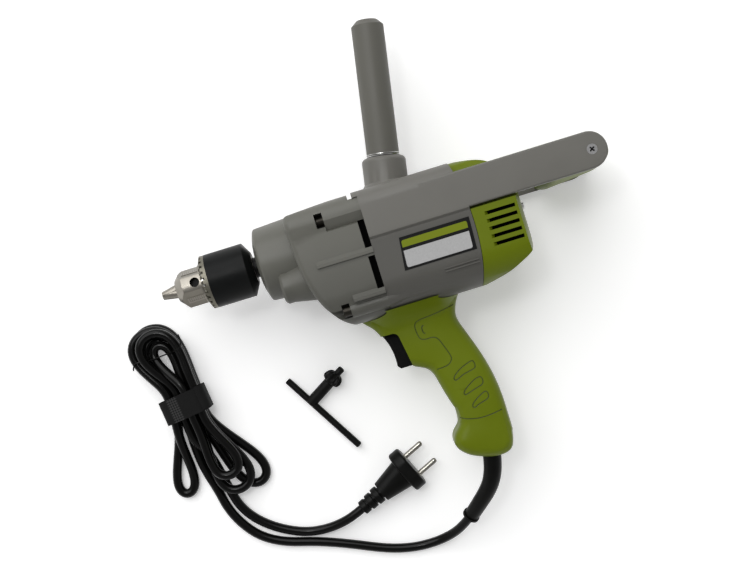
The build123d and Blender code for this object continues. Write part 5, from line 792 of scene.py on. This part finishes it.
def held_at(column, layer):
    """Where a strand lies inside the strap: its place across the strap and its height."""
    across = strap_middle[0] + (column - middle_column) * column_pitch
    return across, lying + strap_gauge + (layer - 1) * layer_rise


def eased(share):
    return share * share * (3 - 2 * share)


def through_strap(strand, upwards):
    across, height = strand
    passing = [(across, strap_middle[1] + side * strap_half, height) for side in (-1, 0, 1)]
    return passing if upwards else passing[::-1]


def fold(first, last, reach, lean, width, rest):
    """One fold of the hank, out of the strap from the first strand and back to the last one."""
    steps = 14
    strap_clear = 3.0
    lying_from = 0.9
    roundness = 1.4 if reach > 0 else 1.5
    span = (lean * lean + reach * reach) ** 0.5
    outwards = 1 if reach > 0 else -1
    side = 1 if last[0] < first[0] else -1
    points = []
    for step in range(1, steps):
        turn = 2 * pi * step / steps
        share = step / steps
        out = sin(turn / 2) ** roundness
        swing = side * width * sin(turn) * sin(turn / 2) ** (1 if reach > 0 else 2)
        tied = first[1] if share < 0.5 else last[1]
        root = strap_middle[1] + outwards * (strap_half + strap_clear)
        x = first[0] + (last[0] - first[0]) * eased(share) + lean * out + swing * abs(reach) / span
        y = root + reach * out - swing * lean / span * outwards
        z = tied + (lying + rest - tied) * eased(min(1.0, out / lying_from))
        points.append((x, y, z))
    return points


upper_folds = [
    (held_at(1, 1), held_at(2, 1), 46.0, -14.0, 9.5, 0.0),
    (held_at(3, 1), held_at(0, 1), 57.0, -16.0, 14.0, 0.0),
    (held_at(0, 2), held_at(3, 2), 55.0, -18.0, 15.5, 8.3),
    (held_at(2, 2), held_at(1.99, 3), 41.0, -14.0, 9.5, 8.3),
    (held_at(3, 3), held_at(1, 2), 52.0, -17.0, 14.0, 17.0),
]
lower_folds = [
    (held_at(2, 1), held_at(3, 1), -69.0, 35.0, 15.5, 0.0),
    (held_at(0, 1), held_at(0, 2), -61.0, -10.0, 12.0, 0.0),
    (held_at(3, 2), held_at(2, 2), -69.0, 18.0, 19.0, 9.3),
    (held_at(1.99, 3), held_at(3, 3), -54.0, 14.0, 14.0, 17.6),
]
route = list(run_points)
for number, upper in enumerate(upper_folds):
    route += through_strap(upper[0], True) + fold(*upper) + through_strap(upper[1], False)
    if number < len(lower_folds):
        route += fold(*lower_folds[number])
route += tail_points

lead_line = bpy.data.curves.new("lead", "CURVE")
lead_line.dimensions = "3D"
lead_line.bevel_depth = cord_width / 2000
lead_line.bevel_resolution = 4
lead_line.resolution_u = 4
lead_line.use_fill_caps = True
strand = lead_line.splines.new("NURBS")
strand.points.add(len(route) - 1)
for point, place_mm in zip(strand.points, route):
    point.co = (*on_drill(*place_mm), 1.0)
strand.order_u = 3
strand.use_endpoint_u = True

black_rubber = grained_finish(
    "black_rubber", (0.0025, 0.0025, 0.0023), fine_scale=900.0, broad_scale=60.0, tone_spread=0.2,
    roughness=0.17, bump=0.03, gleam=0.18)
lead_line.materials.append(black_rubber)
lead = bpy.data.objects.new("lead", lead_line)
scene.collection.objects.link(lead)
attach(lead, "drill")
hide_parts("cord_run", "cord_hank", "cord_tail")

dull_rubber = grained_finish(
    "dull_rubber", (0.003, 0.003, 0.0027), fine_scale=900.0, broad_scale=60.0, tone_spread=0.25,
    roughness=0.36, bump=0.06, gleam=0.12)
for node in ("cord_boot", "plug_body", "cord_lead"):
    smooth_skin(node, dull_rubber)
pin_nickel = grained_finish(
    "pin_nickel", (0.30, 0.29, 0.26), fine_scale=900.0, broad_scale=150.0, tone_spread=0.12,
    roughness=0.24, bump=0.06, metallic=1.0)
pin_skin = smooth_skin("plug_pins", pin_nickel)

wire_line = bpy.data.curves.new("wire_tie", "CURVE")
wire_line.dimensions = "3D"
wire_line.bevel_depth = 0.0006
wire_line.bevel_resolution = 2
wire_line.resolution_u = 6
wire_line.use_fill_caps = True
wire_points = [
    (-181.1, -33.6), (-180.0, -39.0), (-181.0, -45.0), (-186.0, -46.4), (-192.6, -46.9), (-201.7, -47.4),
    (-208.6, -48.4), (-216.0, -47.2), (-222.5, -46.4), (-226.0, -49.0), (-226.8, -52.5),
]
wire_least = 0.018
wire_lift = 0.0008
over_hank = 40.0
hank_mesh = bpy.data.meshes.new_from_object(lead.evaluated_get(bpy.context.evaluated_depsgraph_get()))
hank_skin = BVHTree.FromPolygons(
    [vertex.co for vertex in hank_mesh.vertices], [face.vertices for face in hank_mesh.polygons])
wire = wire_line.splines.new("NURBS")
wire.points.add(len(wire_points) - 1)
for point, (x, y) in zip(wire.points, wire_points):
    hit = hank_skin.ray_cast(Vector(on_drill(x, y, over_hank)), Vector((0.0, 0.0, -1.0)))[0]
    height = wire_least if hit is None else max(hit.z + wire_lift, wire_least)
    point.co = (*on_drill(x, y, 0.0)[:2], height, 1.0)
wire.order_u = 3
wire.use_endpoint_u = True
wire_holder = bpy.data.objects.new("wire_holder", wire_line)
wire_tie = new_piece("wire_tie", bpy.data.meshes.new_from_object(wire_holder))
bpy.data.objects.remove(wire_holder)
wire_tie.data.materials.clear()
wire_tie.data.materials.append(dull_rubber)
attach(wire_tie, body_of["cord_tie"])

strap_turn = radians(7.0)
strap_across = 18.3
strap_low = 1.7
strap_top = 28.4
strap_width = 21.0


def strap_ring(share, swell):
    """Point of the strap's closed path: right side, top, left side and back under the bundle."""
    turn = 2 * pi * share
    side, rise = cos(turn), sin(turn)
    squared = 0.45
    across = (strap_across + swell) * abs(side) ** squared * (1 if side > 0 else -1)
    height = (strap_top - strap_low) / 2 + swell
    return across, (strap_top + strap_low) / 2 + height * abs(rise) ** squared * (1 if rise > 0 else -1)


def strap_band(sheet, shares, swells, shift, closed):
    """Adds a band along the strap's path to a sheet of points and faces."""
    columns = 7
    first = len(sheet[0])
    for share, swell in zip(shares, swells):
        across, height = strap_ring(share, swell)
        for column in range(columns):
            along = (column / (columns - 1) - 0.5) * strap_width + shift
            x = strap_middle[0] + across * cos(strap_turn) - along * sin(strap_turn)
            y = strap_middle[1] + across * sin(strap_turn) + along * cos(strap_turn)
            sheet[0].append(on_drill(x, y, height - axis_height))
    rows = len(shares)
    for row in range(rows if closed else rows - 1):
        here, ahead = first + row * columns, first + (row + 1) % rows * columns
        for column in range(columns - 1):
            sheet[1].append((here + column, ahead + column, ahead + column + 1, here + column + 1))


strap_sheet = ([], [])
ring_steps = 56
strap_band(strap_sheet, [step / ring_steps for step in range(ring_steps)], [0.0] * ring_steps, 0.0, True)
tongue_steps = 16
tongue_start, tongue_sweep = 0.17, 0.26
tongue_rise, tongue_bow = 1.9, 1.6
tongue_shift = 0.8
tongue_rows = range(tongue_steps + 1)
tongue_shares = [tongue_start - tongue_sweep * row / tongue_steps for row in tongue_rows]
tongue_swells = [tongue_rise + tongue_bow * sin(pi * row / tongue_steps) for row in tongue_rows]
strap_band(strap_sheet, tongue_shares, tongue_swells, tongue_shift, False)
strap_mesh = bpy.data.meshes.new("cord_tie_skin")
strap_mesh.from_pydata(strap_sheet[0], [], strap_sheet[1])
strap_skin = new_piece("cord_tie_skin", strap_mesh)
wall = strap_skin.modifiers.new("wall", "SOLIDIFY")
wall.thickness = strap_gauge / 1000
wall.offset = -1.0
drawn = strap_skin.evaluated_get(bpy.context.evaluated_depsgraph_get())
strap_skin.data = bpy.data.meshes.new_from_object(drawn)
strap_skin.modifiers.clear()
strap_skin.data.shade_smooth()
strap_skin.data.set_sharp_from_angle(angle=radians(45.0))

woven_strap, tree, shader = new_finish("woven_strap")
spot = place(tree, "ShaderNodeTexCoord")
turned = place(tree, "ShaderNodeMapping", {
    "Vector": spot.outputs["Object"], "Rotation": (0.0, 0.0, -strap_turn)})
middle = Vector(on_drill(*strap_middle, -axis_height))
turned.inputs["Location"].default_value = (
    -middle.x * cos(strap_turn) - middle.y * sin(strap_turn),
    middle.x * sin(strap_turn) - middle.y * cos(strap_turn), 0.0)
axes = place(tree, "ShaderNodeSeparateXYZ", {0: turned.outputs[0]})
thread_pitch = 0.0021
patch_left, patch_right = -0.0115, -0.0025
waves = []
for axis in ("X", "Y"):
    phase = reckon(tree, "MULTIPLY", axes.outputs[axis], 2 * pi / thread_pitch)
    waves.append(reckon(tree, "SINE", phase))
mesh_of_threads = reckon(tree, "MAXIMUM", *waves)
past_left = reckon(tree, "GREATER_THAN", axes.outputs["X"], patch_left)
before_right = reckon(tree, "LESS_THAN", axes.outputs["X"], patch_right)
in_patch = reckon(tree, "MULTIPLY", past_left, before_right)
light_thread = spread(tree, mesh_of_threads, 0.010, 0.060, start=0.75)
felted = place(tree, "ShaderNodeTexNoise", {
    "Vector": spot.outputs["Object"], "Scale": 1400.0, "Detail": 3.0})
plain_cloth = spread(tree, felted.outputs["Fac"], 0.003, 0.010)
cloth = mixed(tree, in_patch, plain_cloth, light_thread)
nap = place(tree, "ShaderNodeBump", {
    "Height": felted.outputs["Fac"], "Strength": 0.5, "Distance": 0.0003})
tree.links.new(cloth, shader.inputs["Base Color"])
tree.links.new(nap.outputs["Normal"], shader.inputs["Normal"])
shader.inputs["Roughness"].default_value = 0.85
shader.inputs["Specular IOR Level"].default_value = 0.2
strap_skin.data.materials.append(woven_strap)
stand_for(strap_skin, "cord_tie")


# Chuck key
# A loose T key of blackened steel: a toothed head on a short shank that ends in a pilot pin.
# A plain bar is pressed through the shank's far end.

key_root = Vector((-89.5, -124.0, -49.52))
key_heading = radians(31.0)
key_lean = radians(7.06)
key_teeth = 12
key_along = Vector((cos(key_lean) * cos(key_heading), cos(key_lean) * sin(key_heading), sin(key_lean)))
key_stations = [
    (-1.7, 0.0, 0.0), (-1.7, 4.5, 0.0), (-1.3, 5.0, 0.0), (23.6, 5.0, 0.0), (24.1, 5.6, 0.1),
    (24.4, 6.8, 0.4), (25.3, 8.0, 0.9), (26.8, 8.6, 1.4), (28.8, 8.5, 1.6), (30.8, 7.8, 1.6),
    (32.4, 6.7, 1.2), (33.6, 5.2, 0.6), (34.1, 3.1, 0.0), (39.3, 3.1, 0.0), (40.3, 2.3, 0.0),
    (40.6, 0.0, 0.0),
]
key_skin = turned_shape("chuck_key_skin", key_stations, key_root, key_along, key_teeth, blackened_steel)
stand_for(key_skin, "chuck_key")
smooth_skin("chuck_key_bar", blackened_steel)
